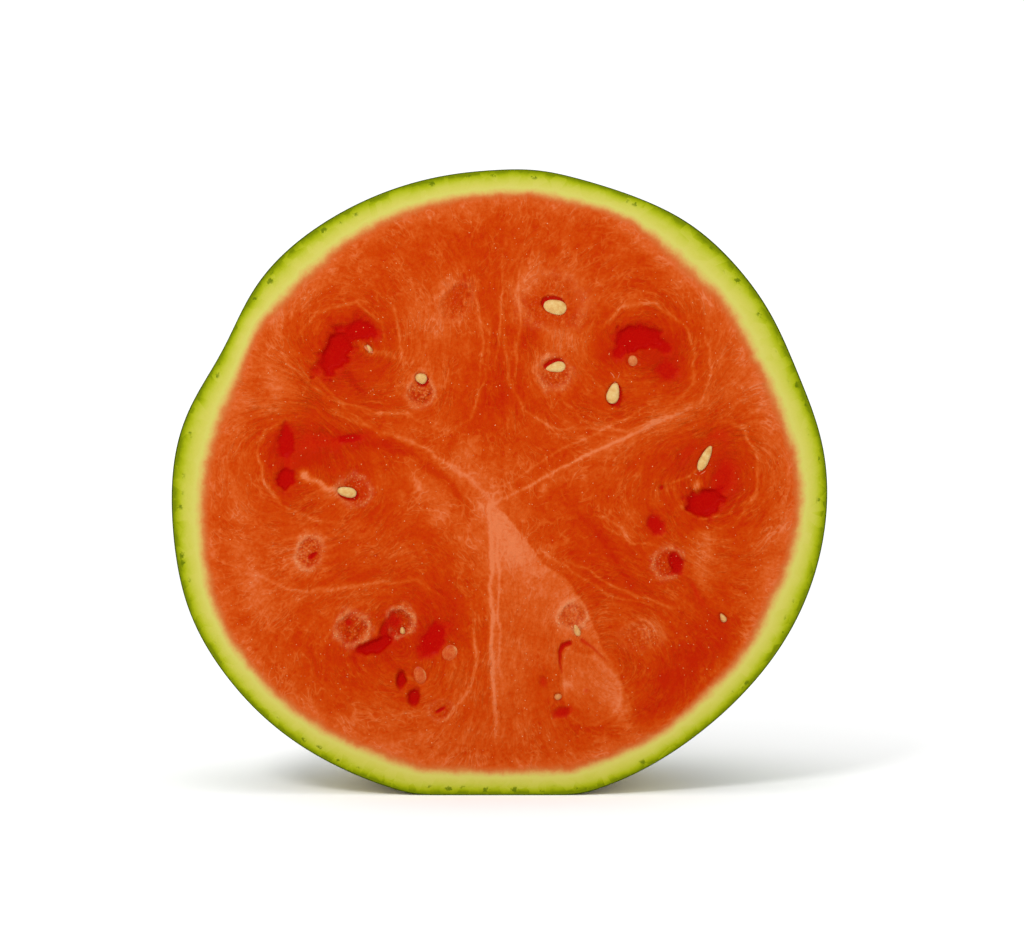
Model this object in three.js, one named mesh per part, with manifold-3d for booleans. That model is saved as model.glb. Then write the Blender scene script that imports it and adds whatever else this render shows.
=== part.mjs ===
// Half a watermelon, cut across its middle and standing on the flat spot where it lay in the field.
//
// Frame: millimetres, +Z up. The cut face looks along -Y and the whole, rounded end points along +Y.
// The origin is on the ground, under the middle of the part's box.
// The skin, rind and flesh grew as one piece, so they are one solid. Each seed is a solid of its own,
// lying in a pocket that is cut from the seed's own sizes.
import * as THREE from "three";
import { mergeVertices } from "three/addons/utils/BufferGeometryUtils.js";
import Module from "manifold-3d";

const wasm = await Module();
wasm.setup();

// ---- Driving sizes ----

const FACE_WIDTH = 220; // cut face, side to side
const FACE_HEIGHT = 209.3; // cut face, ground to top
const DEPTH = 124; // cut face to the tip of the rounded end
const SETTLE = 3.3; // how far the round of the fruit would reach below its flat spot
const SPOT_EDGE = 1.5; // how softly the flat spot turns up into the round side
const SAG = 15; // how much lower the fruit's own axis lies at the tip than at the cut
const FULLNESS = 2.5; // 2 gives the rounded end the profile of an ellipse, more makes it blunter
const LUMP_FADE = 0.45; // share of each lump that is left at the tip

const SEED_THICKNESS = 2.5;
const SEED_POINT = 0.45; // how much narrower a seed is at its pointed end
const SEED_CLEARANCE = 0.35; // between a seed and the wall of its pocket
const SEED_COVER = 0.3; // how far the seeds lie back from the plane of the cut

const AROUND = 72; // facets around the fruit
const ALONG = 16; // rings from the cut to the tip

// The fruit isn't quite round: it swells and dips at these angles, counted from +X towards +Z.
// rise is in millimetres, at and spread are in degrees.
const LUMPS = [
  { at: 21, rise: -2.4, spread: 9 },
  { at: 54, rise: 1.3, spread: 8 },
  { at: 83, rise: 0.7, spread: 5 },
  { at: 138, rise: -1.2, spread: 26 },
  { at: 154, rise: -4.7, spread: 9 },
  { at: 202, rise: 1.6, spread: 9 },
  { at: 221, rise: 2.0, spread: 14 },
  { at: 312, rise: -1.7, spread: 15 },
];

// Seeds that the cut laid open. across and up are shares of half the face's width and height, counted
// from its middle; long and wide are in millimetres. turn is the angle of the seed's length in degrees
// from +X towards +Z, with its pointed end first.
const SEEDS = [
  { across: 0.17, up: 0.563, long: 7.6, wide: 5.1, turn: 168 },
  { across: 0.172, up: 0.37, long: 6.5, wide: 4.4, turn: 170 },
  { across: 0.348, up: 0.287, long: 6.5, wide: 4.4, turn: 78 },
  { across: 0.407, up: 0.391, long: 4.2, wide: 3.3, turn: 95 },
  { across: 0.628, up: 0.078, long: 8.0, wide: 3.3, turn: 68 },
  { across: -0.465, up: -0.03, long: 6.5, wide: 3.6, turn: 177 },
  { across: -0.238, up: 0.335, long: 5.0, wide: 4.2, turn: 30 },
  { across: 0.681, up: -0.432, long: 4.0, wide: 3.0, turn: 120 },
  { across: -0.149, up: -0.543, long: 6.5, wide: 5.0, turn: 60 },
  { across: -0.242, up: -0.615, long: 5.8, wide: 4.8, turn: 80 },
  { across: 0.236, up: -0.473, long: 4.6, wide: 3.2, turn: 110 },
  { across: 0.18, up: -0.685, long: 3.6, wide: 2.6, turn: 20 },
  { across: -0.396, up: 0.429, long: 3.6, wide: 2.4, turn: 60 },
  { across: -0.295, up: -0.474, long: 4.0, wide: 3.0, turn: 100 },
];

// Places where the flesh has drawn back from the cut: wet hollows and the pockets of lost seeds.
// across and up as above; long, wide and deep are in millimetres; turn is the angle of the length.
const HOLLOWS = [
  { across: -0.486, up: 0.42, long: 21, wide: 11, deep: 2.2, turn: 68 },
  { across: -0.64, up: 0.1, long: 17, wide: 6, deep: 1.6, turn: 84 },
  { across: 0.43, up: 0.475, long: 17, wide: 9, deep: 1.8, turn: 5 },
  { across: 0.628, up: -0.055, long: 13, wide: 10, deep: 2.0, turn: 10 },
  { across: -0.386, up: -0.522, long: 12, wide: 5, deep: 1.8, turn: 25 },
  { across: -0.572, up: -0.217, long: 9.4, wide: 7.3, deep: 1.2, turn: 80 },
  { across: -0.446, up: -0.474, long: 11, wide: 10, deep: 1.2, turn: 0 },
  { across: 0.53, up: -0.266, long: 8, wide: 5, deep: 1.6, turn: 85 },
  { across: -0.301, up: -0.63, long: 6.5, wide: 3.3, deep: 1.8, turn: 80 },
];

// ---- The round of the fruit ----

const UNSETTLED_HALF_HEIGHT = (FACE_HEIGHT + SETTLE) / 2;
const CUT_Y = -DEPTH / 2;

function lumpAt(angle) {
  let rise = 0;
  for (const lump of LUMPS) {
    const away = Math.abs(THREE.MathUtils.euclideanModulo(angle - lump.at + 180, 360) - 180);
    rise += lump.rise * Math.exp(-0.5 * (away / lump.spread) ** 2);
  }
  return rise;
}

// Distance from the fruit's axis to its skin at the cut.
function skinRadius(angle) {
  const turn = THREE.MathUtils.degToRad(angle);
  const across = Math.cos(turn) / (FACE_WIDTH / 2);
  const up = Math.sin(turn) / UNSETTLED_HALF_HEIGHT;
  return 1 / Math.hypot(across, up);
}

// The flat spot: heights below the ground become zero, and the edge of the spot turns up softly.
function settled(height) {
  if (height <= 0) return 0;
  if (height < 2 * SPOT_EDGE) return height ** 2 / (4 * SPOT_EDGE);
  return height - SPOT_EDGE;
}

// A point inside or on the fruit: out is its share of the way from the axis to the skin, and along is
// its share of the way from the cut to the tip.
function fruitPoint(angle, out, along) {
  const turn = THREE.MathUtils.degToRad(angle);
  const narrowing = (1 - along ** FULLNESS) ** (1 / FULLNESS);
  const lump = lumpAt(angle) * (1 - (1 - LUMP_FADE) * along);
  const reach = (skinRadius(angle) + lump) * narrowing * out;
  const axisHeight = UNSETTLED_HALF_HEIGHT - SETTLE + SPOT_EDGE - SAG * along;
  return new THREE.Vector3(
    reach * Math.cos(turn),
    CUT_Y + DEPTH * along,
    settled(axisHeight + reach * Math.sin(turn)),
  );
}

// ---- Solids ----

function toSolid(geometry) {
  const bare = geometry.clone();
  bare.deleteAttribute("normal");
  bare.deleteAttribute("uv");
  const merged = mergeVertices(bare, 1e-4);
  const mesh = new wasm.Mesh({
    numProp: 3,
    vertProperties: merged.attributes.position.array,
    triVerts: new Uint32Array(merged.index.array),
  });
  return new wasm.Manifold(mesh);
}

function toGeometry(solid) {
  const mesh = solid.getMesh();
  const geometry = new THREE.BufferGeometry();
  const corners = new THREE.BufferAttribute(new Float32Array(mesh.vertProperties), 3);
  geometry.setAttribute("position", corners);
  geometry.setIndex(new THREE.BufferAttribute(new Uint32Array(mesh.triVerts), 1));
  geometry.computeVertexNormals();
  return geometry;
}

// The fruit is a lathe solid whose rings are then drawn out to the fruit's real outline.
// The profile runs from the middle of the cut face out to the skin and back to the axis at the tip.
function fruitGeometry() {
  const profile = [new THREE.Vector2(0, 0)];
  for (let ring = 0; ring < ALONG; ring += 1) {
    const along = Math.sin((ring / ALONG) * (Math.PI / 2));
    profile.push(new THREE.Vector2(1, along));
  }
  profile.push(new THREE.Vector2(0, 1));
  const geometry = new THREE.LatheGeometry(profile, AROUND);
  const corners = geometry.attributes.position;
  for (let i = 0; i < corners.count; i += 1) {
    const out = Math.min(1, Math.hypot(corners.getX(i), corners.getZ(i)));
    const turn = Math.atan2(corners.getZ(i), corners.getX(i));
    const angle = THREE.MathUtils.euclideanModulo(THREE.MathUtils.radToDeg(turn), 360);
    const point = fruitPoint(angle, out, corners.getY(i));
    corners.setXYZ(i, point.x, point.y, point.z);
  }
  return geometry;
}

// ---- Seeds and hollows ----

const FACE_MIDDLE_HEIGHT = FACE_HEIGHT / 2;

function facePlace(feature) {
  const x = (feature.across * FACE_WIDTH) / 2;
  const z = FACE_MIDDLE_HEIGHT + (feature.up * FACE_HEIGHT) / 2;
  return new THREE.Vector3(x, CUT_Y, z);
}

// Turns a shape whose length is +X and whose thickness is Y to its place on the face.
function layOnFace(geometry, feature, back) {
  const place = facePlace(feature);
  geometry.rotateY(-THREE.MathUtils.degToRad(feature.turn));
  geometry.translate(place.x, place.y + back, place.z);
  return geometry;
}

// A flat drop shape, grown by grow on every side. Its near half can be drawn out towards -Y, which
// makes a pocket that stays open to the cut face.
function dropGeometry(long, wide, thick, grow, drawnOut) {
  const geometry = new THREE.SphereGeometry(1, 16, 10);
  const corners = geometry.attributes.position;
  for (let i = 0; i < corners.count; i += 1) {
    const end = corners.getX(i);
    const narrow = 1 - SEED_POINT * Math.max(0, end) ** 2;
    const x = end * (long / 2 + grow);
    const y = corners.getY(i) * (thick / 2 + grow);
    const z = corners.getZ(i) * ((wide / 2) * narrow + grow);
    corners.setXYZ(i, x, y < -1e-6 ? y - drawnOut : y, z);
  }
  return geometry;
}

const SEED_BACK = SEED_COVER + SEED_THICKNESS / 2;

function seedGeometry(seed) {
  const drop = dropGeometry(seed.long, seed.wide, SEED_THICKNESS, 0, 0);
  return layOnFace(drop, seed, SEED_BACK);
}

function pocketGeometry(seed) {
  const drop = dropGeometry(
    seed.long,
    seed.wide,
    SEED_THICKNESS,
    SEED_CLEARANCE,
    SEED_BACK + SEED_THICKNESS,
  );
  return layOnFace(drop, seed, SEED_BACK);
}

function hollowGeometry(hollow) {
  const bowl = new THREE.SphereGeometry(1, 16, 8);
  bowl.scale(hollow.long / 2, hollow.deep, hollow.wide / 2);
  return layOnFace(bowl, hollow, 0);
}

// ---- The part ----

const finishes = {
  melon: new THREE.MeshStandardMaterial({ color: 0xcf4b14, roughness: 0.45, metalness: 0 }),
  seed: new THREE.MeshStandardMaterial({ color: 0xe0a25c, roughness: 0.4, metalness: 0 }),
};

function melonHalf() {
  let solid = toSolid(fruitGeometry());
  for (const hollow of HOLLOWS) solid = solid.subtract(toSolid(hollowGeometry(hollow)));
  for (const seed of SEEDS) solid = solid.subtract(toSolid(pocketGeometry(seed)));
  const mesh = new THREE.Mesh(toGeometry(solid), finishes.melon);
  mesh.name = "melon_half";
  return mesh;
}

function seedMesh(seed, index) {
  const mesh = new THREE.Mesh(seedGeometry(seed), finishes.seed);
  mesh.name = "seed_" + String(index + 1).padStart(2, "0");
  return mesh;
}

const watermelon = new THREE.Group();
watermelon.add(melonHalf(), ...SEEDS.map(seedMesh));

// The lumps push the outline a little to one side, so the whole part is slid back over the origin.
const box = new THREE.Box3().setFromObject(watermelon);
const middle = box.getCenter(new THREE.Vector3());
watermelon.position.set(-middle.x, -middle.y, -box.min.z);

export default watermelon;
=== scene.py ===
"""Half a watermelon, cut across its middle and standing on the flat spot where it lay in the field.

The melon is one closed mesh: the cut face is a fine grid with its seed pockets, wet hollows, scars and
torn flap pressed into it, and the skin is a dome that closes it. Seeds, the threads that held them, beads
of juice and the scar of the flower are pieces of their own.
"""

import math

import bmesh
import bpy
import numpy as np
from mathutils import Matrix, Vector


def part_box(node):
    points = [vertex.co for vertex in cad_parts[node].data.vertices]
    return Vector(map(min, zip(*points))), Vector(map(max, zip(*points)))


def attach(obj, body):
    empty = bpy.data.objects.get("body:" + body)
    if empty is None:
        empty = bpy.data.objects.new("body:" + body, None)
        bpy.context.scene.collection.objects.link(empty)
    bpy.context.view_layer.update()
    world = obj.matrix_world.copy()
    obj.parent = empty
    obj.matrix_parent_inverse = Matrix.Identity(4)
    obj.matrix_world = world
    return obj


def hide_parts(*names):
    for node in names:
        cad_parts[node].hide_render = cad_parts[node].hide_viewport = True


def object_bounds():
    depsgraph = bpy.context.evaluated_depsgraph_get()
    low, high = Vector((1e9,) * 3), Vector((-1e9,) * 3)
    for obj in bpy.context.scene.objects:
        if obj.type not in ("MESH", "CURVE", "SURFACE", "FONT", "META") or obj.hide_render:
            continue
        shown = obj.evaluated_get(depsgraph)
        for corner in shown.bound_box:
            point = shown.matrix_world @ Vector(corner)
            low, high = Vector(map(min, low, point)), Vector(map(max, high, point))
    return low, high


bl_info = {
    "name": "Watermelon Half",
    "version": (1, 0, 0),
    "blender": (4, 5, 0),
    "location": "View3D > Sidebar > Melon",
    "description": "Builds half a watermelon with its seeds, rind, skin and a plain studio",
    "category": "Object",
}

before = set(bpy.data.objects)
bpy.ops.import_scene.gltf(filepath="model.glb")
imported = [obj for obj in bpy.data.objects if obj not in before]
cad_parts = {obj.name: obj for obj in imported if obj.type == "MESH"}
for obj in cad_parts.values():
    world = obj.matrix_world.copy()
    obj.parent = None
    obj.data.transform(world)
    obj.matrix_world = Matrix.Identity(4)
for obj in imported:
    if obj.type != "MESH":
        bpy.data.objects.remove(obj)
CAD_LOW, CAD_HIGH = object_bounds()
MELON_LOW, MELON_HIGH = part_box("melon_half")

MM = 0.001
WIDTH = (MELON_HIGH.x - MELON_LOW.x) / MM
HEIGHT = (MELON_HIGH.z - MELON_LOW.z) / MM
DEPTH = (MELON_HIGH.y - MELON_LOW.y) / MM
CUT_Y = MELON_LOW.y / MM
MIDDLE_X = (MELON_HIGH.x + MELON_LOW.x) / 2 / MM
MIDDLE_Z = (MELON_HIGH.z + MELON_LOW.z) / 2 / MM

# ---- The round of the fruit: the same rules as the solid in the frame, in millimetres ----

SETTLE = 3.3
SPOT_EDGE = 1.5
SAG = 15
FULLNESS = 2.5
LUMP_FADE = 0.45
LUMP_ROOM = 0.2
LUMPS = [
    # angle from +X towards +Z, rise in millimetres, spread in degrees
    (21, -2.4, 9),
    (54, 1.3, 8),
    (83, 0.7, 5),
    (138, -1.2, 26),
    (154, -4.7, 9),
    (202, 1.6, 9),
    (221, 2.0, 14),
    (312, -1.7, 15),
]

# ---- The cut face, in millimetres from its middle, on a face of this width and height ----

DRAWN_WIDTH = 219.5
DRAWN_HEIGHT = 209.4
RIND = 8.4
RIND_SWELLS = [
    # angle, how much thicker the rind is there, spread in degrees
    (1, 0.4, 8),
    (14, 1.5, 8),
    (32, 2.5, 8),
    (50, 3.1, 6.5),
    (68, -1.0, 6),
    (92, -0.5, 10),
    (120, 0.5, 8),
    (135, 1.9, 7),
    (150, -1.7, 4.5),
    (172, 2.3, 9),
    (190, 0.8, 8),
    (216, -0.3, 6),
    (246, 0.6, 8),
    (270, -0.8, 6),
    (303, -0.9, 6),
    (337, 1.6, 6),
    (350, 0.4, 7),
]

# The six groups of seeds that the fibres curl round. Neighbours curl opposite ways.
SEED_GROUPS = [
    (-51, 44, 1),
    (47, 45, -1),
    (71, 0, 1),
    (36, -60, -1),
    (-33, -55, 1),
    (-68, 6, -1),
]

# Wet hollows: x, z, length, width, turn of the length in degrees, depth, and how wet and red (up to 1)
WET_HOLLOWS = [
    (-55.2, 43.4, 22.0, 10.6, 60, 2.0, 1.0),
    (-46.2, 51.0, 14.0, 8.0, -12, 1.3, 0.95),
    (-71.7, 13.6, 15.0, 7.4, 86, 1.2, 0.9),
    (-71.6, 1.5, 8.4, 7.6, 60, 1.4, 1.0),
    (-71.0, 7.5, 10.0, 5.0, 88, 0.7, 0.6),
    (-50.4, 14.8, 11.0, 3.6, 8, 0.6, 0.85),
    (-60.5, 13.8, 26.0, 8.5, 3, 0.45, 0.5),
    (46.6, 48.4, 17.6, 10.0, 2, 1.8, 1.0),
    (40.4, 44.0, 9.0, 6.0, 35, 1.0, 0.9),
    (54.6, 45.8, 9.0, 6.0, -35, 1.0, 0.85),
    (55.6, 37.8, 11.0, 9.0, 0, 1.0, 0.75),
    (69.0, -6.2, 15.4, 11.0, 8, 2.0, 1.0),
    (75.0, 1.5, 18.0, 10.0, 80, 0.8, 0.7),
    (62.0, 9.5, 9.0, 6.0, 60, 0.4, 0.35),
    (72.5, 15.5, 14.0, 6.0, 20, 0.4, 0.40),
    (-41.0, -54.5, 15.0, 5.4, 21, 1.8, 1.0),
    (-38.4, -49.4, 8.0, 3.2, 78, 1.2, 0.8),
    (-22.4, -52.8, 16.5, 9.6, 60, 0.8, 0.9),
    (-33.1, -66.3, 7.0, 3.8, 84, 1.6, 0.9),
    (-28.7, -72.2, 7.4, 4.6, 74, 1.6, 0.9),
    (52.4, -14.6, 9.4, 6.8, -55, 0.9, 0.85),
    (59.1, -27.2, 9.6, 5.4, 104, 1.3, 0.95),
    (66.0, -37.0, 13.0, 3.6, -60, 0.5, 0.45),
    (21.0, -77.0, 7.4, 4.6, 20, 0.7, 0.75),
    (14.6, -66.6, 6.4, 3.6, 100, 0.4, 0.45),
    (54.3, -1.7, 2.4, 1.8, 60, 0.5, 0.8),
    (-50.6, -47.0, 3.4, 3.4, 0, 0.6, 0.75),
    (-35.2, -46.6, 6.0, 5.4, 70, 0.9, 0.75),
    (-62.7, -24.5, 4.0, 1.6, 35, 0.7, 0.9),
    (-19.8, -76.2, 5.0, 1.8, 28, 0.7, 0.9),
    (29.0, -69.7, 3.4, 3.0, 60, 0.3, 0.35),
]

# Pockets that seeds left: x, z, length, width, turn, depth, how pale the rim is, how scarred the floor is
# and how beaded the rim is
POCKETS = [
    (-63.6, -23.4, 12.0, 9.0, 82, 0.5, 1.1, 0.9, 0.9),
    (-49.4, -49.2, 11.6, 11.2, 0, 0.8, 1.2, 0.8, 1.0),
    (-33.5, -46.9, 9.8, 9.0, 70, 1.1, 1.4, 0.6, 1.0),
    (24.4, -44.6, 10.2, 9.4, 30, 0.8, 1.5, 0.6, 1.0),
    (-26.3, 30.2, 9.6, 9.2, 80, 0.7, 0.9, 1.0, 0.7),
    (18.6, 37.0, 11.8, 11.4, 10, 0.7, 1.2, 0.7, 0.6),
    (-14.4, 60.6, 15.0, 11.0, 62, 0.6, 0.5, 0.3, 0.2),
    (47.6, -51.6, 16.0, 10.0, 0, 0.25, 0.2, 0.45, 0.08),
    (-19.6, -76.2, 9.0, 7.0, 25, 0.3, 0.6, 0.4, 0.3),
    (56.2, -26.8, 10.6, 10.2, 96, 0.3, 0.9, 0.8, 0.6),
    (10.6, -60.6, 11.0, 9.0, 0, 0.25, 0.5, 0.1, 0.0),
    (17.4, 60.6, 23.0, 20.0, 150, 0.3, 0.45, 0.3, 0.2),
    (-48.6, -2.9, 11.6, 10.0, -10, 0.2, 0.3, 0.6, 0.5),
    (-16.4, -56.9, 8.6, 8.2, 60, 0.15, 0.4, 0.0, 0.0),
    (-26.4, -63.9, 8.0, 6.6, 105, 0.15, 0.4, 0.0, 0.0),
]

# Soft patches: x, z, length, width, turn, and how much darker (below 0) or paler (above 0) the flesh is. One
# of them, on the torn flap, is a painted highlight.
PATCHES = [
    (-50, 44, 44, 34, 50, -0.60),
    (-62, 10, 46, 26, 5, -0.60),
    (-60, 10, 30, 14, 0, -0.80),
    (-66, 50, 30, 16, 60, -0.35),
    (56, 46, 26, 26, 0, -0.30),
    (78, -6, 14, 24, 0, -0.30),
    (78, -32, 14, 14, 0, -0.40),
    (31, -32, 22, 12, -45, -0.50),
    (48, 44, 42, 30, -5, -0.60),
    (70, 2, 38, 38, 90, -0.70),
    (-24, -44, 42, 28, 25, -0.85),
    (-40, -54, 34, 20, 20, -0.45),
    (60, -62, 38, 24, 35, -1.00),
    (50, -77, 26, 14, 25, -0.60),
    (72, -50, 26, 16, 60, -0.60),
    (36, -20, 48, 20, -42, -0.75),
    (46, -37, 22, 14, -50, -0.40),
    (-38, -12, 34, 16, -30, -0.45),
    (-48, -30, 34, 14, -10, -0.35),
    (-10, 28, 26, 20, 80, -0.60),
    (4, 30, 34, 20, 90, -0.45),
    (-3, 62, 60, 12, 90, -0.35),
    (12, 48, 14, 10, 0, -0.45),
    (9, 49, 6, 8, 0, -0.60),
    (-8, 79, 44, 16, 0, -0.35),
    (46, 72, 44, 20, -30, -0.25),
    (28, 26, 28, 14, 0, -0.40),
    (52, 8, 20, 20, 0, -0.40),
    (-50, 33, 20, 9, -50, -0.35),
    (-60, -60, 36, 18, -45, -0.35),
    (-30, -70, 26, 16, 0, -0.25),
    (15, -66, 12, 14, 0, -0.50),
    (22, -77, 16, 11, 0, -0.50),
    (-14, 61, 10, 6, 60, -0.50),
    (-37, 34, 14, 18, 0, -0.35),
    (42, 26, 10, 13, 0, -0.50),
    (-50, 66, 20, 12, 40, 0.40),
    (-8, -30, 8, 26, 0, 0.30),
    (14, 60, 12, 9, 150, -0.60),
    (-66, -10, 24, 10, 0, -0.30),
    (84, 56, 30, 14, 120, -0.15),
    (-9, 3, 17, 12, -58, 0.75),
    (-2, -9, 15, 12, -58, 0.80),
    (4, -21, 21, 13, -58, 0.85),
    (14, -34, 15, 9, -50, 0.25),
    (-18, -8, 36, 9, -50, 0.50),
    (-13, -19, 14, 8, -50, 0.35),
    (-23, 56, 18, 15, 50, 0.65),
    (-65.6, 2.7, 4.4, 4.0, 0, 2.00),
    (66.1, -0.9, 3.4, 4.6, 0, 1.80),
    (-44.8, -50.6, 6, 9, -30, 0.80),
    (-29.9, -48.0, 6, 10, 15, 0.80),
    (14, 38.5, 6, 8, 20, 0.50),
    (27, 44, 9, 8, 0, 0.50),
    # Painted highlight: the pale spot on the torn flap's left edge.
    (22.9, -67.7, 3.6, 3.0, 0, 0.90),
    (-58.0, -3.0, 10, 5, -20, 0.60),
    (-16, 68, 15, 5, 45, 0.60),
    (-27, 49, 20, 14, 0, 0.35),
    (9, 66, 15, 11, 60, 0.60),
    (25, 68, 12, 12, 0, 0.40),
    (22, 48, 16, 9, 0, 0.60),
    (-27, 35, 13, 11, 0, 0.60),
    (-74, 33, 28, 15, 70, 0.75),
    (-68, 54, 34, 12, 52, 0.35),
    (-88, 0, 60, 10, 92, 0.40),
    (-66, -25, 17, 15, 0, 0.45),
    (-82, -34, 34, 14, 110, 0.55),
    (-40, -84, 60, 12, -22, 0.22),
    (-4, -85, 44, 13, 0, 0.30),
    (24, -84, 16, 8, 0, -0.35),
    (68, -24, 21, 8, 80, 1.05),
    (70.5, -19.0, 8, 5, 0, 0.45),
    (41, -57, 9, 5, -45, -0.50),
    (50, -49, 5, 4, 0, 0.40),
    (56, -21, 13, 8, 60, 0.55),
    (42, -14, 13, 9, -60, 0.75),
    (50, -51, 15, 10, -20, 0.60),
    (41, -77, 22, 9, -62, 0.95),
    (58, 22, 32, 9, 25, 0.50),
    (90, 20, 44, 12, 100, 0.35),
    (76, 42, 32, 12, 120, 0.40),
    (56, 74, 56, 9, -40, 0.50),
    (-66, 66, 34, 9, 48, 0.35),
    (91, -22, 44, 10, 80, 0.35),
    (-14, 90, 60, 8, 8, 0.25),
    (-44, -37, 26, 5, 20, 0.30),
]

# Seams and bands where the flesh grew together: half width, paleness (below 0 darker), the points passed
SEAMS = [
    (0.7, 0.85, ((-3.4, -8), (-3.0, -38), (-2.2, -62), (-0.8, -84))),
    (2.8, 0.30, ((-3.4, -8), (-3.0, -38), (-2.2, -62), (-0.8, -84))),
    (0.5, 0.50, ((-0.6, -14), (-0.4, -40), (0.4, -66))),
    (1.6, -0.85, ((-48, 13.6), (-38, 12.6), (-28, 8.4), (-18, 0.4), (-9, -10))),
    (0.9, 0.60, ((-56, 24), (-38, 16.4), (-25, 11.4), (-12, 2.4), (-5, -5))),
    (1.6, 0.40, ((-34, 4), (-24, -4), (-14, -15))),
    (0.6, 0.70, ((-3, -8), (10, -1), (27, 8), (46, 17), (64, 25))),
    (2.6, 0.35, ((24, 4), (42, 14), (56, 21), (70, 27))),
    (0.5, 0.45, ((1, -2), (20, 11), (42, 21), (56, 30))),
    (0.5, 0.55, ((-1.5, 36), (0, 56), (2, 82))),
    (0.5, 0.50, ((4, 30), (7, 52), (6, 74))),
    (0.5, 0.45, ((-8, 24), (-5, 48), (-9, 70))),
    (0.5, 0.55, ((33, -11), (41, -15), (44, -20), (54, -22))),
    (0.5, 0.40, ((17, 31), (27, 20), (44, 17), (58, 24))),
    (2.2, 0.20, ((1, -18), (13, -31), (24, -42), (31, -55), (38, -70), (43, -80))),
    (1.3, -0.45, ((24, -8), (34, -18), (44, -34), (48, -40))),
    (0.9, 0.90, ((-65.5, 2.6), (-62.0, 0.4), (-58.5, -2.4), (-54.6, -2.6))),
    (1.0, 0.50, ((-60.5, -3.0), (-66.0, -6.6), (-72.0, -7.4))),
    (0.5, 0.60, ((57.0, -0.5), (60.5, -7.5), (68.0, -12.6), (77.0, -10.6), (81.0, -3.0))),
    (0.5, 0.55, ((66, 4.2), (64.4, 2.6), (60, 0.6), (56, -1.0))),
    (0.7, 0.60, ((-67.9, 48.3), (-61.2, 57.2), (-47.8, 60.5), (-38.9, 53.8), (-37.8, 43.8))),
    (0.5, 0.55, ((-68.5, 39.3), (-61.2, 33.8), (-52.3, 26), (-41.1, 23.7), (-27.7, 23.7))),
    (0.5, 0.55, ((-73.5, 43.8), (-65.7, 34.9), (-57.9, 29.3), (-45.6, 21.5))),
    (0.6, 0.50, ((-35.5, 58.2), (-34.0, 48.3), (-32.2, 39.3))),
    (0.8, -0.70, ((-50.2, 36.6), (-49.2, 32.4), (-45.0, 29.0))),
    (0.5, 0.70, ((23.1, -25.5), (36.9, -34.6), (60.9, -43.2))),
    (0.7, 0.60, ((-70, 21.8), (-78.6, 17.4), (-81, 10.5), (-79.4, 1), (-73.5, -7.4),
                 (-63.5, -12.4), (-52, -13.5))),
    (0.7, 0.55, ((33.7, 51), (40.4, 58.4), (52.1, 60.1), (62.1, 52.7), (66.1, 42.7),
                 (63.8, 31), (55.4, 24.3))),
    (0.5, 0.45, ((68.8, 49.4), (71.2, 37.7), (67.1, 26))),
    (0.8, 0.55, ((73.5, 21), (82.2, 17.6), (86.2, 7.5), (85.6, -4.2), (78.9, -14.2), (67.1, -17.6))),
    (0.6, 0.50, ((-9.9, -40.7), (-7.4, -56), (-9.9, -69.5), (-18.3, -79.5))),
    (0.7, 0.50, ((-84, -30), (-70, -35.5), (-56.8, -36.5), (-40, -33.5), (-27, -33), (-16.6, -39.3))),
    (1.1, 1.00, ((-46.4, 46.4), (-44.8, 44.2), (-42.4, 42.8), (-39, 42.8), (-33.4, 42.5))),
    (0.6, 0.50, ((1.8, 51), (2.8, 34.3), (8.5, 24.3), (20.3, 17.6), (37, 17.6))),
    (0.6, 0.45, ((-3.2, 51), (-4.9, 34.3), (-9.9, 21), (-22, 15))),
    (0.4, 0.60, ((14, -22), (34.6, -36.9), (51.7, -41.5))),
    (0.4, 0.55, ((32.3, -6), (35.7, -14), (46, -22))),
]

# The smooth pale wedge below the middle: points down its right edge; its left edge is the seam
WEDGE_EDGE = (
    (0.2, -8.9),
    (9.5, -19.6),
    (14.6, -27.0),
    (21.9, -32.0),
    (29.3, -42.4),
    (35.7, -58.1),
    (40.7, -64.8),
    (46.7, -81.5),
)
WEDGE_STEP = 0.28

# The torn flap: how far it stands up, the points round its edge, and lines along that edge, each with its
# distance inside the edge and its paleness. The last line, 1.2 mm outside the edge and darker, is painted
# shadow that the raised flap casts on the flesh.
FLAP_LIFT = 0.45
FLAP_LINES_AND_SHADOW = ((0.5, 0.34), (4.2, 0.20), (7.0, 0.20), (-1.2, -0.36))
FLAP_EDGE = (
    (21.4, -57.4),
    (23.3, -55.0),
    (25.4, -56.8),
    (28.0, -58.0),
    (31.4, -57.7),
    (34.4, -59.8),
    (37.4, -62.6),
    (39.7, -65.6),
    (41.0, -69.5),
    (40.8, -74.6),
    (37.2, -79.4),
    (31.0, -82.0),
    (24.8, -80.4),
    (22.0, -76.0),
    (21.3, -68.0),
    (21.0, -62.0),
)

# The cracks that the flap tore from: half width, depth, how wet, the points passed
CRACKS = [
    (1.0, 0.9, 0.9, ((23.4, -53.8), (21.4, -54.4), (20.2, -57.0), (20.3, -60.0), (20.8, -63.6))),
    (0.8, 0.35, 0.5, ((27.6, -52.8), (31.2, -55.3), (36.2, -60.2))),
]

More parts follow.
